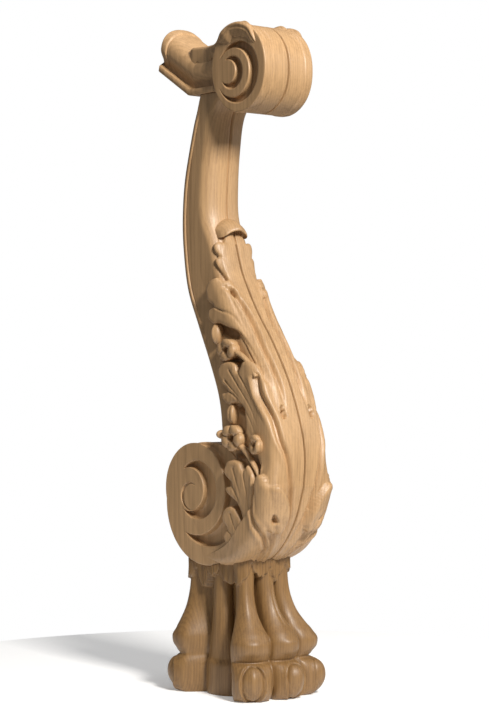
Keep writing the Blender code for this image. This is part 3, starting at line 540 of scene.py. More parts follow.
# leaflets on the side plane, each one: outline x, z with its notches; root; tip; rise at root and tip;
# furrows that run in from the notches
LEAFLETS = (
    (((4, 716), (-1, 726), (-12, 737), (-25, 750), (-30, 761), (-24, 768), (-32, 776), (-35, 787), (-27, 795),
      (-8, 796), (8, 786), (14, 765), (16, 735)), (10, 712), (-33, 792), 6.0, 10.0,
     (((-24, 768), (-10, 764), (4, 748)),)),
    (((14, 719), (4, 727), (-8, 723), (-18, 729), (-31, 723), (-39, 712), (-38, 700), (-33, 688), (-19, 679),
      (-30, 673), (-34, 664), (-29, 653), (-16, 646), (-3, 648), (13, 643), (35, 636), (51, 627), (65, 615),
      (81, 599), (97, 579), (110, 559), (125, 568), (100, 602), (72, 640), (44, 680), (24, 712)),
     (112, 572), (-36, 706), 6.0, 15.0,
     (((-19, 679), (24, 661), (60, 628), (84, 602)), ((-2, 711), (16, 688), (46, 650), (64, 628)))),
    (((111, 552), (102, 568), (87, 580), (70, 582), (58, 564), (50, 577), (32, 582), (14, 578), (5, 568),
      (6, 556), (14, 544), (31, 531), (16, 526), (19, 513), (34, 506), (48, 509), (63, 508), (74, 497),
      (77, 478), (77, 461), (84, 448), (98, 431), (108, 413), (119, 391), (140, 398), (152, 435),
      (150, 470), (140, 505), (124, 542)), (132, 402), (24, 572), 6.0, 16.0,
     (((58, 564), (78, 540), (105, 505), (127, 470), (136, 440)),
      ((37, 566), (57, 543), (90, 504), (112, 462)),
      ((31, 531), (55, 519), (87, 485), (106, 449)), ((26, 548), (44, 534), (66, 516)))),
    (((109, 372), (104, 386), (97, 398), (87, 406), (76, 396), (67, 409), (48, 413), (34, 409), (27, 398),
      (27, 386), (45, 371), (29, 365), (31, 355), (43, 347), (57, 339), (67, 325), (71, 312), (75, 292),
      (86, 268), (102, 250), (116, 262), (120, 290), (118, 320), (112, 350)),
     (98, 262), (50, 408), 12.0, 17.0,
     (((76, 396), (83, 369), (93, 325), (102, 285)), ((45, 371), (59, 352), (78, 316), (92, 284)),
      ((52, 398), (60, 376), (72, 345)))),
    (((112, 345), (112, 367), (115, 384), (124, 392), (135, 388), (138, 375), (150, 374), (159, 360),
      (164, 340), (165, 315), (155, 295), (140, 280), (122, 290), (113, 318)),
     (142, 286), (122, 390), 17.5, 25.0,
     (((138, 375), (137, 351), (133, 324)),)),
    (((70, 306), (60, 320), (52, 329), (41, 333), (28, 329), (19, 319), (18, 306), (29, 294), (19, 281),
      (26, 264), (40, 250), (60, 238), (80, 250), (84, 280)), (66, 250), (34, 328), 11.0, 15.0,
     (((29, 294), (44, 280), (62, 258)), ((42, 320), (48, 304), (64, 272)))),
)
# valleys on the blade with a ridge at each side, one row each: line as height along the front and width
# from the groove; depth; width; lower and upper end
VALLEYS = (
    (((665, 39), (637, 30), (607, 24), (570, 25), (543, 27), (517, 26), (461, 24), (430, 26), (400, 27)),
     8.6, 4.0, 400, 672),
    (((490, 60), (454, 66), (425, 61), (405, 56), (369, 52), (344, 43), (316, 36), (293, 31), (248, 22),
      (200, 14), (150, 7)), 10.0, 4.2, 150, 492),
    (((330, 96), (296, 98), (248, 88), (218, 70), (173, 42), (120, 26), (70, 18)), 6.0, 3.2, 70, 330),
    (((240, 56), (207, 40), (150, 24), (90, 13)), 2.6, 3.2, 80, 240),
)
# eyes drilled between the leaflets: height along the front, width from the groove, half sizes, depth
EYES = ((659, 37, 9, 4.0, 19), (417, 33, 12, 6.0, 20))
SIDE_EYES = ((134, 318, 5.2, 9.5, 11),)           # on the side plane: x, z, half sizes, depth


def along(table, at):
    """Table of height against width read as a smooth curve at every height."""
    curve = spread(sorted(table), 40 * len(table))
    return np.interp(at, curve[:, 0], curve[:, 1])


def closed_through(points, count):
    """Closed smooth curve through a few points."""
    pts = np.array(points, float)
    pts = np.concatenate([pts[-3:], pts, pts[:3]])
    return through(pts, 3 + np.linspace(0, len(points), count, endpoint=False))


def domed(away, wide):
    """Quarter round: 0 at an edge, 1 at a distance from it and beyond."""
    return np.sqrt(1 - (1 - np.clip(away / wide, 0, 1)) ** 2)


def to_line(x, z, line):
    """Distance from points to a line of short pieces, and how far along it the nearest place lies."""
    line = np.array(line, float)
    run = run_along(line)
    best, where = np.full(x.shape, 1e9), np.zeros(x.shape)
    for n in range(len(line) - 1):
        a, ab = line[n], line[n + 1] - line[n]
        share = np.clip(((x - a[0]) * ab[0] + (z - a[1]) * ab[1]) / (ab @ ab), 0, 1)
        away = np.hypot(x - a[0] - share * ab[0], z - a[1] - share * ab[1])
        closer = away < best
        best = np.where(closer, away, best)
        where = np.where(closer, (run[n] + share * (run[n + 1] - run[n])) / run[-1], where)
    return best, where


def inside_of(x, z, outline):
    """True inside a closed outline: a level ray to the right meets it an odd number of times."""
    odd = np.zeros(x.shape, bool)
    for (ax, az), (bx, bz) in zip(outline, np.roll(outline, -1, 0)):
        if az != bz:
            odd ^= ((az > z) != (bz > z)) & (x < (bx - ax) * (z - az) / (bz - az) + ax)
    return odd


def ground(x, z):
    """How deep the skin of the leaf dives where there is no leaf: under the side of the post, and
    deeper where the side is cut."""
    return -3.0 - 1000 * sunk_by(x / 1000, z / 1000)


def leaflet(x, z, data):
    """Height of one leaflet over the side plane, in mm.  It rises from root to tip; its face is a dome
    that falls to the outline and to the furrows, and its edge drops steeply to the ground."""
    outline, root, tip, low, high, furrows = data
    line = closed_through(outline, 5 * len(outline))
    lowest, highest = line.min(0) - 4, line.max(0) + 4
    near = (x > lowest[0]) & (x < highest[0]) & (z > lowest[1]) & (z < highest[1])
    px, pz = x[near], z[near]
    edge, _ = to_line(px, pz, np.concatenate([line, line[:1]]))
    edge = np.where(inside_of(px, pz, line), edge, -edge)
    run = np.array(tip) - np.array(root)
    up = np.clip(((px - root[0]) * run[0] + (pz - root[1]) * run[1]) / (run @ run), 0, 1)
    swell, crease = edge, 0 * px
    for furrow in furrows:
        away, share = to_line(px, pz, spread(furrow, 12))
        swell = np.minimum(swell, away + 3.8 + 12 * share ** 1.4)
        crease = np.maximum(crease, (1 - share ** 2) * bump(away, 0, 1.6))
    height = (low + (high - low) * up ** 1.3) * (0.54 + 0.46 * domed(swell, 9.0)) - 1.7 * crease
    height = height * step(edge, -0.1, 2.0) + ground(px, pz) * (1 - step(edge, -0.8, 0.8))
    result = np.full(x.shape, -20.0)
    result[near] = height
    return result


def leaf_height(x, z, f, q):
    """Height of the leaf over the post in mm: the greatest of the blade and its leaflets, less the
    valleys between the pipes and the drilled eyes."""
    edge = along(BLADE_EDGE, f)
    inside = edge - q
    swell = 8.4 - 1.6 * fall(f, 330, 430) - 2.2 * fall(f, 20, 180)
    swell = swell + 12.5 * step(f, 40, 190) * fall(f, 270, 340) * step(q, 42, 66)
    swell = swell - 5.0 * step(q, 34, 52) * step(f, 450, 500) * fall(f, 690, 735)
    height = swell * step(inside, -0.1, 3.4) + ground(x, z) * (1 - step(inside, -0.8, 0.9))
    for data in LEAFLETS:
        one = leaflet(x, z, data)
        gap = np.clip(np.abs(height - one) / 3.0, 0, 1)
        height = np.maximum(height, one) + 0.7 * (1 - gap) ** 2 * (np.minimum(height, one) > 0)
    on = step(height, 0, 3)
    for table, deep, wide, lower, upper in VALLEYS:
        line = along(table, f)
        length = upper - lower
        fade = step(f, lower, lower + 0.35 * length) * fall(f, upper - 12, upper)
        height = height - on * deep * fade * bump(q, line, wide * (0.75 + 0.5 * (f - lower) / length))
        beside = sum(bump(q, line + way * wide, 1.2 * wide) for way in (2.3, -2.3))
        height = height + on * 1.9 * fade * beside
    for up, across, deep in [((f - ef) / hf, (q - eq) / hq, deep) for ef, eq, hf, hq, deep in EYES] \
            + [((z - ez) / hz, (x - ex) / hx, deep) for ex, ez, hx, hz, deep in SIDE_EYES]:
        drop = np.hypot(up, across / np.clip(0.72 - 0.50 * up, 0.15, 1.3))
        height = height - deep * fall(drop, 0.80, 1.15)
    rim = step(q, 0.7, 2.8)
    return height * rim - 2.5 * (1 - rim)


def leaf_half():
    """Closed skin of the near half of the leaf: across, from the groove over the front and round the
    edge on to the side, pushed out along the surface's own normal by the leaf's height."""
    line = s_line(LEAF_SPACING)
    keep = line[-1] * 1000 <= LEAF_TOP + 6
    front, back, half, crown, f = (column[keep] for column in line)
    half, crown, f = half[:, None], crown[:, None], f[:, None] * 1000
    depth, inward = through_post(front, back)
    tangent = headings(front)
    outward = np.stack([-tangent[:, 1], tangent[:, 0]], -1)
    outward *= np.sign((outward * -inward).sum(1))[:, None]
    share = np.concatenate([(0.014, 0.020, 0.028, 0.038, 0.050, 0.066, 0.084),
                            np.sin(np.linspace(0.105, math.pi / 2, 30))])
    edge = crown + FRONT_EDGE
    # how far back the skin reaches at a height along the front
    stretch = np.interp(f, (0, 60, 150, 250, 330, 420, 520, 570, 640, 720, 790),
                        (80, 100, 122, 128, 118, 116, 112, 98, 70, 58, 40)) / 1000
    stretch = np.minimum(stretch, depth - 0.003)
    side = edge + (stretch - edge) * np.linspace(0, 1, 93)[1:]
    t = np.concatenate([front_depth(share, crown), side], 1)
    y = np.concatenate([half * share, half + 0 * side], 1)
    spot = behind(front, inward, t)
    base = np.stack([spot[..., 0], -y, spot[..., 1]], -1)
    # the same skin unrolled on to the side plane, where the leaflets are drawn
    flat = behind(front, outward, half - y) + t[..., None] * inward[:, None]
    height = leaf_height(flat[..., 0] * 1000, flat[..., 1] * 1000, f + 0 * y, (y + t) * 1000) / 1000
    top = fall(f, LEAF_TOP - 8, LEAF_TOP + 2)
    height = height * top - 0.002 * (1 - top)
    normal = np.cross(np.gradient(base, axis=0), np.gradient(base, axis=1))
    normal /= np.linalg.norm(normal, axis=2)[..., None]
    normal *= np.sign(normal[len(normal) // 2, -5, 1]) * -1
    outer = base + normal * height[..., None]
    # three points inside the post close the loop
    spot = behind(front, inward, stretch * (1 - np.array((0.10, 0.45, 0.75))) + 0.012)
    inner = np.stack([spot[..., 0], -half * (0.86, 0.60, 0.10), spot[..., 1]], -1)
    return np.concatenate([outer, inner], 1)


near_half = leaned(leaf_half())
leaf_near = solid("acanthus_near", near_half, oak)
leaf_far = solid("acanthus_far", mirror(near_half), oak)
for piece in (leaf_near, leaf_far):
    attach(piece, "root")


# Curled tip of the leaf.  The leaf ends in a small hood that rolls forward over its own face, hollow
# underneath, and stands clear of the shaft.  It is carved from the same oak and left smooth.
TIP_Z = 0.8190
TIP_HALF = 0.0300
# section of the hood in the middle plane, forwards and up, in mm
TIP_PROFILE = ((-9, 16), (-2, 17), (7, 16), (16, 12.5), (23, 7.5), (27, 1), (27.5, -3.5), (25, -6),
               (20.5, -3.5), (14.5, -2.5), (9, -6), (6, -13), (5.5, -22), (6, -30), (-9, -32))


def leaf_tip():
    """The profile in the plane of the scroll, carried across and scaled by an ellipse, with its lip
    drooping towards the sides."""
    profile = closed_through(TIP_PROFILE, 80) / 1000
    a = np.linspace(-1, 1, 61) * math.radians(88)
    y = TIP_HALF * np.sin(a)
    size = np.cos(a) ** 0.55
    out = profile[:, 0] * size[:, None]
    up = profile[:, 1] * (0.45 + 0.55 * size[:, None]) - 0.015 * (np.sin(a) ** 2)[:, None]
    ridge = 0.0009 * np.cos(a * 7)[:, None] * step(profile[:, 0], 0.004, 0.012)
    x = np.interp(TIP_Z + up, FRONT[::-1, 1], FRONT[::-1, 0]) + out + ridge
    x = x - np.interp(np.abs(y), (0, TIP_HALF), (0, 0.006))[:, None]
    return np.stack([x, y[:, None] + 0 * x, TIP_Z + up], -1)


tip = solid("leaf_tip", leaf_tip(), oak)
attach(tip, "root")


# Flowers, stems and buds on both sides.  Small heads of three to five petals round a hollow middle,
# carved from the same oak and left standing on the ground of the side between the leaflets; the two
# larger ones grow on round stems that run under the leaf.
# heads: x, z, half sizes, petals, first petal's angle, tilt of the head forwards
HEADS = (
    (0.024, 0.602, 0.0245, 0.0190, 4, 80, 0.10),
    (0.044, 0.450, 0.0275, 0.0230, 5, 60, 0.12),
    (0.105, 0.440, 0.0170, 0.0175, 3, 95, 0.30),
)
HEAD_STAND = 0.0175
# stems: start, middle and end, each x, z
STEMS = (
    (0.042, 0.600, 0.076, 0.583, 0.101, 0.556),
    (0.060, 0.440, 0.090, 0.414, 0.114, 0.382),
)
STEM_RADIUS = 0.0036
# bud on a stem, lone petal over the upper head, and small closed bud beside the lower head:
# x, z, half sizes, lean, depth of the furrows, number of furrows to a side
BUD = (0.040, 0.490, 0.0090, 0.0180, 0.0, 0.14, 2)
PETAL = (-0.012, 0.630, 0.0105, 0.0185, 0.12, 0.05, 3)
BERRY = (0.009, 0.455, 0.0075, 0.0080, 0.0, 0.0, 3)
EGG_STAND = 0.0130


def side_half(z):
    """Half width of the plain side at a height."""
    order = np.argsort(FRONT[:, 1])
    return np.interp(z, FRONT[order, 1], HALF[order])


def flower_head(data):
    """A round head with a hollow middle: over oval rings the height is a rounded rim, creased between
    the petals, and the outside falls straight into the ground of the side."""
    x, z, wide, tall, petals, first, tilt = data
    turn = full_turn(90)
    petal = np.abs(np.cos(petals / 2 * (turn - math.radians(first)))) ** 0.45
    share = np.linspace(0.03, 1, 24)[:, None]
    dome_up = np.sqrt(np.clip(1 - ((share - 0.66) / 0.44) ** 2, 0, 1))
    lift = HEAD_STAND * (0.50 + 0.50 * dome_up) * (1 - (1 - petal) * 0.30 * step(share, 0.18, 0.5))
    lift *= 1 - 0.85 * fall(share, 0.20, 0.36)
    reach = (0.86 + 0.14 * petal) * np.concatenate([share, np.array((1.0, 0.97, 0.3))[:, None]])
    lift = np.concatenate([lift, np.array((0.2, -0.6, -0.8))[:, None] * HEAD_STAND + 0 * turn])
    px, pz = x + wide * reach * np.cos(turn), z + tall * reach * np.sin(turn)
    lift = lift * (1 + tilt * (px - x) / wide)
    return np.stack([px, -(side_half(z) + lift), pz], -1)


def stem(data):
    """Round bar along a parabola over the side, thinner to its end."""
    ax, az, mx, mz, bx, bz = data
    u = np.linspace(0, 1, 40)[:, None]
    a, m, b = np.array((ax, az)), np.array((mx, mz)), np.array((bx, bz))
    ctrl = 2 * m - (a + b) / 2
    line = (1 - u) ** 2 * a + 2 * u * (1 - u) * ctrl + u * u * b
    run = headings(line)
    w = full_turn(16)
    wide = STEM_RADIUS * (1.25 - 0.35 * u)
    across = wide * np.cos(w)
    y = -(side_half(line[:, 1])[:, None] + 0.0062 + 1.5 * wide * np.sin(w))
    return np.stack([line[:, :1] - run[:, 1:] * across, y, line[:, 1:] + run[:, :1] * across], -1)


def dome(x, z, wide, tall, lean, furrow, count):
    """Egg that stands off the side, leaning by an angle, with lengthwise furrows."""
    a = np.linspace(0.03, math.pi - 0.03, 36)[:, None]
    w = full_turn(32)
    swell = np.sin(a) * (1 - furrow * np.cos(2 * count * w))
    side, up = wide * swell * np.cos(w), tall * np.cos(a) + 0 * w
    out = EGG_STAND * swell * np.sin(w)
    px = x + side * math.cos(lean) - up * math.sin(lean)
    pz = z + side * math.sin(lean) + up * math.cos(lean)
    return np.stack([px, -(side_half(z) + 0.002 + out), pz], -1)


small = [(f"flower{n}", flower_head(data)) for n, data in enumerate(HEADS)]
small += [(f"stem{n}", stem(data)) for n, data in enumerate(STEMS)]
small += [(name, dome(*data)) for name, data in (("bud", BUD), ("petal", PETAL), ("berry", BERRY))]
for name, grid in small:
    grid = leaned(grid)
    for suffix, loops in (("near", grid), ("far", mirror(grid))):
        piece = solid(f"{name}_{suffix}", loops, oak)
        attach(piece, "root")


# Handrail start.  A short moulded length of rail that leaves the back of the roll level and then
# climbs: a flat plate underneath, a hollow above it and a rounded grip, with a raised collar at its
# end.  It is moulded oak, glued and bolted against the roll.  Its colour is a lighter copy of the
# post's oak: painted light, to make up for the shade that the rail lies in.
JOINT_X = -0.0333
RAIL_BOTTOM = 1.0572
MITRE_X = -0.1030
RAIL_PITCH = 31.5             # degrees
RAIL_END_X = -0.1880
END_LEAN = 12.0               # degrees that the end face leans from plumb
COLLAR = 0.0150
COLLAR_PROUD = 0.0022
GRIP_MIDDLE = 0.045           # height in the section that the collar grows away from
# half of the section from the plate up: across, up
PLATE_CORNERS = ((0.0, 0.0), (0.030, 0.0), (0.0425, 0.0), (0.0440, 0.0012), (0.0440, 0.0098),
                 (0.0428, 0.0110), (0.0340, 0.0122))
GRIP_CURVE = ((0.0333, 0.0130), (0.0336, 0.0170), (0.0356, 0.0235), (0.0400, 0.0296), (0.0436, 0.0360),
              (0.0443, 0.0430), (0.0432, 0.0510), (0.0395, 0.0590), (0.0325, 0.0662), (0.0230, 0.0710),
              (0.0120, 0.0734), (0.0, 0.0740))
# the post's oak made lighter: painted light for the rail, which stands in shade
rail_oak_painted_light = oak_finish("oak_rail", (0.590, 0.362, 0.176), (0.260, 0.145, 0.060), 210.0, 0.13, 0.16)


def rail():
    """The section is carried level to the mitre and then up the pitch, each copy leaning as its cut
    does; near the end it grows by the collar."""
    grip = spread(GRIP_CURVE, 48)
    half = np.concatenate([np.array(PLATE_CORNERS), grip[:-1]])
    whole = np.concatenate([half, [GRIP_CURVE[-1]], half[:0:-1] * (-1, 1)])
    away = np.concatenate([np.zeros(len(PLATE_CORNERS)), step(grip[:-1, 1], 0.013, 0.020)])
    away = np.concatenate([away, [1.0], away[:0:-1]])
    from_middle = np.maximum(np.hypot(whole[:, 0], whole[:, 1] - GRIP_MIDDLE), 1e-6)
    sway = whole / from_middle[:, None]
    sway[:, 1] -= GRIP_MIDDLE / from_middle
    end, collar = RAIL_END_X, RAIL_END_X + COLLAR
    x = np.concatenate([np.linspace(JOINT_X, MITRE_X + 0.002, 24),
                        np.linspace(MITRE_X - 0.002, collar + 0.003, 30),
                        collar + np.array((0.0022, 0.0016, 0.0010, 0.0002, -0.0006, -0.0014)),
                        np.linspace(collar - 0.004, end + 0.0024, 5), end + np.array((0.0012, 0.0004, 0.0))])
    grow = np.interp(x, (end, end + 0.0004, end + 0.0014, collar - 0.0016, collar - 0.0006,
                         collar + 0.0002, collar + 0.0010, collar + 0.0016, collar + 0.0030),
                     (-0.0008, 0.0006, COLLAR_PROUD, COLLAR_PROUD, 0.0016, -0.0012, -0.0012, 0.0, 0.0))
    level = np.clip((JOINT_X - x) / (JOINT_X - MITRE_X), 0, 1)
    pitched = np.clip((MITRE_X - x) / (MITRE_X - collar), 0, 1)
    lean = np.radians(np.where(x > MITRE_X, RAIL_PITCH / 2 * level,
                               RAIL_PITCH / 2 + (END_LEAN - RAIL_PITCH / 2) * pitched))
    slope = np.radians(np.where(x > MITRE_X, 0.0, RAIL_PITCH))
    stretch = 1 / np.cos(slope - lean)
    foot_z = RAIL_BOTTOM + np.maximum(MITRE_X - x, 0) * math.tan(math.radians(RAIL_PITCH))
    section = whole[None] + sway[None] * (grow[:, None] * away)[..., None]
    up = section[..., 1] * stretch[:, None]
    px = x[:, None] + np.sin(lean)[:, None] * up
    return np.stack([px, section[..., 0], foot_z[:, None] + np.cos(lean)[:, None] * up], -1)


def neck():
    """The rail's section without its collar, carried level from the joint into the roll: the short
    neck that is carved with the scroll."""
    loop = rail()[0]
    x = np.array((JOINT_X + 0.0001, JOINT_X + 0.0006, -0.022, -0.010, 0.004, 0.012))
    scale = np.array((0.990, 1.0, 1.0, 1.0, 1.0, 0.98))[:, None]
    lean = (x - JOINT_X)[:, None]
    return np.stack([loop[:, 0] + lean, loop[:, 1] * scale, (loop[:, 2] - 1.09) * scale + 1.09], -1)


rail_neck = solid("rail_neck", neck(), oak)
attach(rail_neck, "root")
handrail = solid("handrail", rail(), rail_oak_painted_light)
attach(handrail, "root")
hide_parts("handrail_start")


# Leaf over the roll.  A second acanthus leaf, carved with the roll, lies over its top and down its back,
# crosses the joint and ends in a curl on the handrail.  Its edges hang over the cheeks in scallops.
LEAF_START = 26.0             # degrees round the roll
LEAF_END = (-0.118, 1.138)    # x, z on the handrail
LEAF_HALF = 0.0570
LEAF_LOBES = 6
# hollows drilled in the leaf: share of its length, share of its half width, half sizes, depth
ROLL_LEAF_EYES = ((0.78, 0.52, 0.035, 0.10, 0.0060), (0.90, 0.45, 0.028, 0.12, 0.0060),
                  (0.56, 0.60, 0.025, 0.09, 0.0060))


def rounded_end(u, start, length, least):
    """1 up to a start and from there the quarter of an ellipse, but never under a least value."""
    return np.sqrt(np.clip(1 - ((u - start) / length).clip(0) ** 2, least, 1))


def saddle():
    """Middle line of the leaf in the plane of the scroll: round the roll from its front over its back,
    then in a slack curve up on to the handrail; with its outward normals."""
    a = np.radians(np.linspace(LEAF_START, 132, 120))
    first = circle(*ROLL_CENTRE, roll_radius(a), a)
    start, end = first[-1], np.array(LEAF_END)
    share = np.linspace(0, 1, 90)[1:, None]
    second = start + (end - start) * share
    second[:, 1] += (-0.0075 * np.sin(math.pi * share) - 0.003 * share)[:, 0]
    line = np.concatenate([first, second])
    run = run_along(line)
    even = np.linspace(0, run[-1], 190)
    line = np.stack([np.interp(even, run, line[:, n]) for n in (0, 1)], -1)
    for _ in range(6):
        line[1:-1] = (line[:-2] + 2 * line[1:-1] + line[2:]) / 4
    ahead = headings(line)
    return line, np.stack([ahead[:, 1], -ahead[:, 0]], -1), even / even[-1]


def roll_leaf():
    """Across the leaf, pipes with valleys between them rise out of the roll, early along its edges and
    late in the middle; the edge hangs down over the cheek in lobes, and the end lifts into a curl."""
    line, normal, u = saddle()
    u = u[:, None]
    t = np.linspace(-1, 1, 171)
    s = np.sin(np.clip(t / 0.84, -1, 1) * math.pi / 2)
    lobes = np.abs(np.sin(math.pi * LEAF_LOBES * u ** 1.15)) ** 0.6
    narrow = (1 - 0.27 * step(u, 0.46, 0.66)) * rounded_end(u, 0.90, 0.106, 0.05)
    half = LEAF_HALF * narrow * (0.93 + 0.07 * step(u, 0.10, 0.27))
    away = np.abs(s)
    begin = 0.25 * (1 - 0.85 * away ** 2.5)
    grow = step(u, begin, begin + 0.17)
    lift = (0.0042 + 0.0060 * step(u, 0.55, 0.90)) * rounded_end(u, 0.93, 0.075, 0.02)
    pipes = np.cos(2 * math.pi * (away ** 1.2 * (2.2 + 0.9 * (1 - u)) + 0.05))
    pipes = 0.0025 * (1 - 0.7 * step(away, 0.80, 1.0)) * pipes
    veins = 0.0006 * np.cos(2 * math.pi * away * 8)
    for at, across_at, long, wide, deep in ROLL_LEAF_EYES:
        veins = veins - deep * fall(np.hypot((u - at) / long, (away - across_at) / wide), 0.7, 1.2)
    edge = np.clip((np.abs(t) - 0.74) / 0.26, 0, 1)
    droop = (0.021 + 0.012 * (lobes - 0.7) * step(u, 0.34, 0.44)) * step(u, 0.0, 0.16) + 0.001
    out = (lift * (1 - 0.35 * s ** 2) + pipes * (1 - edge) + veins) * grow - 0.010 * (1 - grow)
    out = out - (droop + lift * 0.65) * edge ** 1.5
    stand = (0.0080 * np.sin(math.pi * edge ** 0.8) - 0.0020 * bump(edge, 0.50, 0.09)) * step(u, 0.0, 0.14)
    y = half * s + np.sign(t) * stand * fall(u, 0.60, 0.80)
    # the underside: five points, inside the roll
    low_s = np.array((0.95, 0.5, 0.0, -0.5, -0.95))
    low = -droop * np.array((1.0, 0.3, 0.3, 0.3, 1.0)) - np.array((0.001, 0.014, 0.014, 0.014, 0.001))
    skin = []
    for off, across in ((out, y), (low, half * low_s)):
        x, z = (line[:, n, None] + normal[:, n, None] * off for n in (0, 1))
        skin.append(np.stack([x, across, z], -1))
    return np.concatenate(skin, 1)


over_roll = solid("leaf_over_roll", roll_leaf(), oak)
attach(over_roll, "root")


# Lion-paw foot.  A block of oak carved as a bundle of legs that spread into toes with claws, five at the
# front and corners and plainer ones at the sides and back, under a ragged fringe of fur.  Its top is
# scribed to the underside of the scroll, and the scroll is dowelled to it.
FOOT_AXIS = (-0.012, 0.0)
NECK_X = (-0.091, 0.058)
NECK_HALF = 0.0500
JOINT_GAP = 0.0010
# legs: toe x, y, direction in degrees from the front, toe half width, neck x, y, neck half width, claw
LEGS = (
    (0.100, 0.008, 4.0, 0.0330, 0.046, 0.002, 0.0200, True),
    (0.082, 0.068, 36.0, 0.0340, 0.042, 0.037, 0.0210, True),
    (-0.006, 0.046, 90.0, 0.0360, -0.012, 0.037, 0.0175, False),
    (-0.078, 0.064, 142.0, 0.0290, -0.072, 0.037, 0.0170, True),
    (-0.086, 0.000, 180.0, 0.0280, -0.074, 0.000, 0.0170, False),
    (-0.078, -0.064, 218.0, 0.0290, -0.072, -0.037, 0.0170, True),
    (-0.006, -0.046, 270.0, 0.0360, -0.012, -0.037, 0.0175, False),
    (0.086, -0.058, 324.0, 0.0360, 0.042, -0.037, 0.0210, True),
)
# a clawed leg down its length: height, share of the way out, share of the widening, half depth
PAW_ROWS = ((0.000, 0.88, 0.66, 0.0170), (0.006, 0.95, 0.84, 0.0240), (0.016, 1.00, 0.97, 0.0290),
            (0.034, 1.01, 1.00, 0.0305), (0.050, 0.95, 0.97, 0.0290), (0.060, 0.84, 0.91, 0.0262),
            (0.066, 0.69, 0.80, 0.0225), (0.071, 0.71, 0.85, 0.0258), (0.082, 0.77, 0.93, 0.0290),
            (0.098, 0.79, 0.92, 0.0300), (0.112, 0.70, 0.66, 0.0280), (0.128, 0.48, 0.24, 0.0240),
            (0.150, 0.25, -0.16, 0.0205), (0.180, 0.08, -0.34, 0.0185), (0.215, 0.01, -0.24, 0.0180),
            (0.252, 0.00, 0.00, 0.0180))
# a plain leg, in the same columns
BLOCK_ROWS = ((0.000, 1.00, 1.04, 0.0195), (0.030, 1.00, 1.04, 0.0200), (0.052, 0.97, 1.00, 0.0198),
              (0.060, 0.84, 0.90, 0.0182), (0.066, 0.74, 0.80, 0.0172), (0.100, 0.52, 0.45, 0.0176),
              (0.140, 0.25, 0.16, 0.0180), (0.170, 0.10, 0.05, 0.0180), (0.252, 0.00, 0.00, 0.0180))
CLAW_SIZE = (0.0172, 0.0196, 0.0290)     # half sizes outwards, sideways and up
CLAW_Z = 0.0318
CLAW_REACH = 0.0195
FUR_PROUD = 0.0056
# directions round the foot, and how many times finer they are worked out
FOOT_DIRECTIONS = 400
FINER = 5
foot_oak = oak_finish("oak_foot", (0.262, 0.144, 0.050), (0.094, 0.044, 0.013), 230.0, 0.12, 0.10)


def table_at(rows, z):
    """Columns of a table as smooth functions of height."""
    fine = spread(rows, 20 * len(rows))
    return [np.interp(z, fine[:, 0], fine[:, n]) for n in range(1, fine.shape[1])]


def foot_top(x, y):
    """Underside of the scroll over the foot, less the joint: at a distance from the middle the belly's
    rounded front is higher by its depth there, and the disc of the volute is flat."""
    count = 141
    number = np.arange(count)
    a = np.radians(-np.linspace(0, BELLY_SWEEP, count))
    reach = spread(BELLY_RADII, count)
    half = BELLY_HALF[0] + (BELLY_HALF[1] - BELLY_HALF[0]) * np.linspace(0, 1, count)
    angle = np.interp(x, (VOLUTE_CENTRE[0] + reach * np.cos(a))[::-1], number[::-1])
    r = np.interp(angle, number, reach)
    r = r - front_depth(np.abs(y) / np.interp(angle, number, half), BELLY_CROWN)
    side = np.clip((x - VOLUTE_CENTRE[0]) / r, -0.999, 0.999)
    belly = VOLUTE_CENTRE[1] - r * np.sqrt(1 - side ** 2)
    side = np.clip((x - VOLUTE_CENTRE[0]) / VOLUTE_RADIUS, -0.999, 0.999)
    disc = VOLUTE_CENTRE[1] - VOLUTE_RADIUS * np.sqrt(1 - side ** 2)
    return np.minimum(belly, disc) - JOINT_GAP


def leg_reach(leg, dx, dy, z):
    """Distance from the foot's axis to the surface of one leg, along a direction at a height: each
    level section of a leg is an ellipse, met by a ray."""
    tx, ty, direction, toe_half, nx, ny, neck_half, claw = leg
    share, wide, deep = table_at(PAW_ROWS if claw else BLOCK_ROWS, z)
    a = math.radians(direction)
    out, side = np.array((math.cos(a), math.sin(a))), np.array((-math.sin(a), math.cos(a)))
    mx, my = nx + (tx - nx) * share - FOOT_AXIS[0], ny + (ty - ny) * share - FOOT_AXIS[1]
    half = neck_half + (toe_half - neck_half) * wide
    ray_out, ray_side = dx * out[0] + dy * out[1], dx * side[0] + dy * side[1]
    mid_out, mid_side = mx * out[0] + my * out[1], mx * side[0] + my * side[1]
    # the ray meets the ellipse where square * reach ** 2 + 2 * single * reach + rest is nothing
    square = (ray_out / deep) ** 2 + (ray_side / half) ** 2
    single = -(ray_out * mid_out / deep ** 2 + ray_side * mid_side / half ** 2)
    rest = (mid_out / deep) ** 2 + (mid_side / half) ** 2 - 1
    root = single * single - square * rest
    reach = np.where(root > 0, (-single + np.sqrt(np.maximum(root, 0))) / square, 0.0)
    lateral = reach * ray_side - mid_side
    facing = ray_out > 0.2
    if claw:
        # knuckle pad, ring round the claw, a facet down the front of the leg, and a cleft in the middle one
        pad = 0.0036 * np.exp(-(lateral / (0.55 * half)) ** 4 - ((z - 0.092) / 0.013) ** 4)
        ring = np.hypot(lateral / CLAW_SIZE[1], (z - CLAW_Z) / CLAW_SIZE[2])
        socket = 0.0044 * bump(ring, 1.19, 0.10) - 0.0060 * bump(ring, 1.03, 0.07)
        socket = socket * fall(z, 0.057, 0.066)
        facet = 0.0016 * bump(lateral, 0, 0.45 * half) * step(z, 0.11, 0.13)
        cleft = -0.0034 * bump(lateral, 0, 0.10 * half) * step(z, 0.105, 0.135) * (leg is LEGS[0])
        reach = np.where((root > 0) & facing, reach + pad + socket + facet + cleft, reach)
    return reach


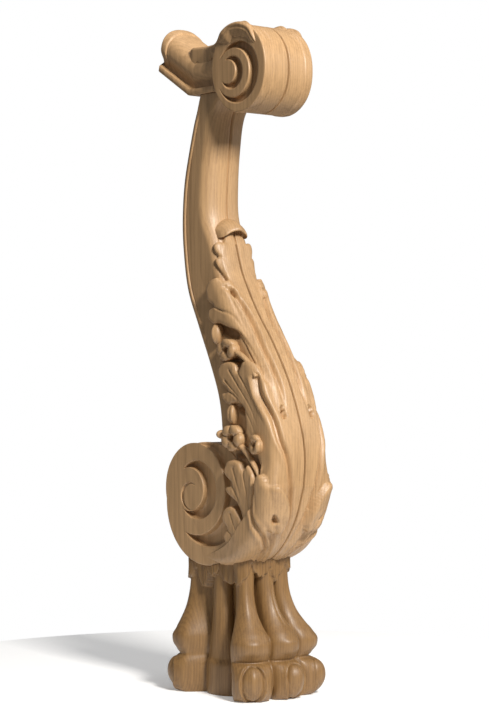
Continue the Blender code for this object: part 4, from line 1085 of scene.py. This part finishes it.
def foot():
    """Surface round the foot's axis: at each height and direction, the farthest of the legs and the
    core, with a crease where two of them meet, and the fur standing proud above its ragged edge.  The
    directions are worked out several times finer and averaged, so that steep flanks come out even."""
    turn = full_turn(FOOT_DIRECTIONS * FINER)
    dx, dy = np.cos(turn)[None], np.sin(turn)[None]
    middle = (NECK_X[0] + NECK_X[1]) / 2
    reach_x = (NECK_X[1] - NECK_X[0]) / 2

    def core(grow):
        """Distance to the squarish neck of the foot, found by a few corrections of a guess."""
        rx, ry = reach_x + grow, NECK_HALF + grow
        p = 4.2                       # power: 2 is an ellipse, more is squarer
        guess = 0.09 + 0 * dx
        for _ in range(12):
            x, y = FOOT_AXIS[0] + guess * dx - middle, guess * dy
            value = (np.abs(x / rx) ** p + np.abs(y / ry) ** p) ** (1 / p)
            guess = guess / np.maximum(value, 1e-6) ** 0.8
        return guess

    top = foot_top(FOOT_AXIS[0] + core(0.004) * dx, core(0.004) * dy)
    share = np.linspace(0, 1, 170)[:, None]
    z = share * top
    grow = np.interp(z, (0, 0.05, 0.12, 0.19, 0.215, 0.26), (0.000, -0.008, -0.024, -0.022, -0.017, -0.002))
    best = core(0.0) + grow
    second = 0 * best
    for leg in LEGS:
        one = leg_reach(leg, dx, dy, z)
        second = np.maximum(second, np.minimum(best, one))
        best = np.maximum(best, one)
    best = best - 0.0075 * bump(best - second, 0, 0.0060) * step(z, 0.0, 0.03) * fall(z, 0.22, 0.25)
    # averages: round the foot everywhere, and up the foot on steep flanks
    kernel = np.array((1, 2, 3, 4, 5, 6, 5, 4, 3, 2, 1)) / 36
    best = sum(weight * np.roll(best, n - 5, 1) for n, weight in enumerate(kernel))
    steep = np.abs(np.roll(best, 4, 1) - np.roll(best, -4, 1))
    steep = step(sum(np.roll(steep, n, 1) for n in (-8, -4, 0, 4, 8)) / 5, 0.0035, 0.0080)
    padded = np.pad(best, ((5, 5), (0, 0)), mode="edge")
    even = sum(weight * padded[n:n + len(best)] for n, weight in enumerate(kernel))
    best = best * (1 - steep) + even * steep
    turn, best, top, z = turn[::FINER], best[:, ::FINER], top[:, ::FINER], z[:, ::FINER]
    dx, dy = np.cos(turn)[None], np.sin(turn)[None]
    # fur: ten tufts of uneven length, each cut by short waving hairs
    arc = turn[None] / (2 * math.pi)
    cell = arc * 10 + 0.25 * np.sin(2 * math.pi * arc * 3)
    tuft = np.abs(np.sin(math.pi * cell)) ** 0.70
    number = np.floor(cell)
    length = 0.024 + 0.013 * np.sin(number * 2.4 + 0.7) + 0.004 * np.sin(number * 5.1)
    nick = 0.0042 * np.abs(np.sin(4 * math.pi * cell))
    hem = top - 0.008 - length * tuft - nick
    fur = step(z, hem - 0.0012, hem + 0.0014)
    hairs = 0.0007 * np.cos(2 * math.pi * (cell * 5 + 6 * (z - 0.22)))
    neck = core(0.0)
    best = np.where(z > 0.15, best * (1 - fur) + np.maximum(best, neck + 0.0005) * fur, best)
    best = best + fur * (FUR_PROUD + hairs)
    best = best - 0.0015 * (1 - step(z, -0.0005, 0.004))
    x, y = FOOT_AXIS[0] + best * dx, FOOT_AXIS[1] + best * dy
    wall = np.stack([x, y, z + 0 * x], -1)
    # the flat underside, and the scribed top under the scroll
    inner = np.linspace(1, 0.02, 14)[1:, None]
    bx, by = x[0] - FOOT_AXIS[0], y[0] - FOOT_AXIS[1]
    bottom = np.stack([FOOT_AXIS[0] + bx * inner, FOOT_AXIS[1] + by * inner, 0 * bx * inner], -1)
    ax, ay = x[-1] - FOOT_AXIS[0], y[-1] - FOOT_AXIS[1]
    px = FOOT_AXIS[0] + ax * inner
    cap = np.stack([px, FOOT_AXIS[1] + ay * inner, foot_top(px, FOOT_AXIS[1] + ay * inner)], -1)
    wall[-1, :, 2] = foot_top(x[-1], y[-1])
    return np.concatenate([bottom[::-1], wall, cap])


def claw(leg):
    """Blunt oval claw: an egg that is fuller at its root and drawn to a rounded point below, with a
    soft ridge down its middle."""
    tx, ty, direction = leg[:3]
    a = np.linspace(0.02, math.pi - 0.02, 48)[:, None]
    w = full_turn(48)
    draw = 1 - 0.34 * ((1 - np.cos(a)) / 2) ** 3.0
    ridge = 1 + 0.10 * bump(w - math.pi * 2 * (w > math.pi), 0, 0.35)
    out = CLAW_SIZE[0] * np.sin(a) * np.cos(w) * draw * ridge
    side = CLAW_SIZE[1] * np.sin(a) ** 0.95 * np.sin(w) * draw
    up = CLAW_SIZE[2] * np.cos(a) + 0 * w
    angle = math.radians(direction)
    reach = CLAW_REACH + out - 0.0035 * (up < 0) * (up / CLAW_SIZE[2]) ** 2
    x = tx + reach * math.cos(angle) - side * math.sin(angle)
    y = ty + reach * math.sin(angle) + side * math.cos(angle)
    return np.stack([x, y, CLAW_Z + up], -1)


paw = solid("lion_foot", foot(), foot_oak)
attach(paw, "root")
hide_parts("lion_paw_foot")
for n, leg in enumerate(LEGS):
    if leg[-1]:
        piece = solid(f"claw{n}", claw(leg), foot_oak)
        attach(piece, "root")


# Studio.  A plain white floor under a soft key light from the front, a weak fill and a pale surround;
# the camera stands level, a little below mid height, at the photograph's angle.
FLOOR_RADIUS = 0.8
CAMERA_TURN = 41.0            # degrees round from the front
CAMERA_DISTANCE = 3.529
CAMERA_Z = 0.5915
SENSOR = 36.0
# of the photograph, in pixels: focal length, height and the row of the horizon
FOCAL, TALL, HORIZON = 2000.0, 716.0, 356.0


def plain_floor():
    """One round, faintly glowing white face under the foot."""
    mesh = bpy.data.meshes.new("studio_floor")
    a = full_turn(96)
    rim = np.stack([FLOOR_RADIUS * np.cos(a), FLOOR_RADIUS * np.sin(a), 0 * a], -1)
    mesh.from_pydata(rim.tolist(), [], [list(range(96))])
    finish = bpy.data.materials.new("studio_white")
    finish.use_nodes = True
    dial(finish.node_tree.nodes["Principled BSDF"], {
        "Base Color": (0.93, 0.93, 0.93, 1), "Roughness": 0.9,
        "Emission Color": (1, 1, 1, 1), "Emission Strength": 0.22})
    mesh.materials.append(finish)
    return placed("studio_floor", mesh)


plain_floor()


def lamp(name, turn, rise, distance, size, power, colour=(1, 1, 1)):
    """Square light that looks at the middle of the post from an angle and a height."""
    data = bpy.data.lights.new(name, "AREA")
    data.size, data.energy, data.color = size, power, colour
    obj = placed(name, data)
    a, e = math.radians(turn), math.radians(rise)
    spot = np.array((math.cos(e) * math.cos(a), math.cos(e) * math.sin(a), math.sin(e))) * distance
    obj.location = spot + (0, 0, 0.6)
    obj.rotation_euler = (math.pi / 2 - e, 0, math.pi / 2 + a)


lamp("key_light", -13.0, 34.0, 3.2, 0.6, 140.0, (1.0, 0.97, 0.93))
lamp("fill_light", 60.0, 20.0, 4.0, 2.0, 20.0)
lamp("top_light", 0.0, 82.0, 3.0, 1.6, 22.0)
world = bpy.data.worlds.new("pale_surround")
world.use_nodes = True
surround = world.node_tree.nodes["Background"]
surround.inputs[0].default_value = (1.0, 1.0, 1.0, 1)
# the surround is white where the camera sees it and gives only a weak light to the post
sight = world.node_tree.nodes.new("ShaderNodeLightPath")
strength = world.node_tree.nodes.new("ShaderNodeMath")
strength.operation = "MULTIPLY_ADD"
strength.inputs[1].default_value = 0.83
strength.inputs[2].default_value = 0.17
world.node_tree.links.new(sight.outputs["Is Camera Ray"], strength.inputs[0])
world.node_tree.links.new(strength.outputs[0], surround.inputs[1])
bpy.context.scene.world = world
bpy.context.scene.view_settings.view_transform = "Standard"

camera_data = bpy.data.cameras.new("camera")
camera_data.sensor_width = SENSOR
camera_data.lens = FOCAL / TALL * SENSOR
camera_data.shift_y = (HORIZON - TALL / 2) / TALL
camera_data.clip_end = 100.0
camera = placed("camera", camera_data)
view = math.radians(CAMERA_TURN)
camera.location = (CAMERA_DISTANCE * math.cos(view), -CAMERA_DISTANCE * math.sin(view), CAMERA_Z)
camera.rotation_euler = (math.pi / 2, 0, math.pi / 2 - view)
bpy.context.scene.camera = camera
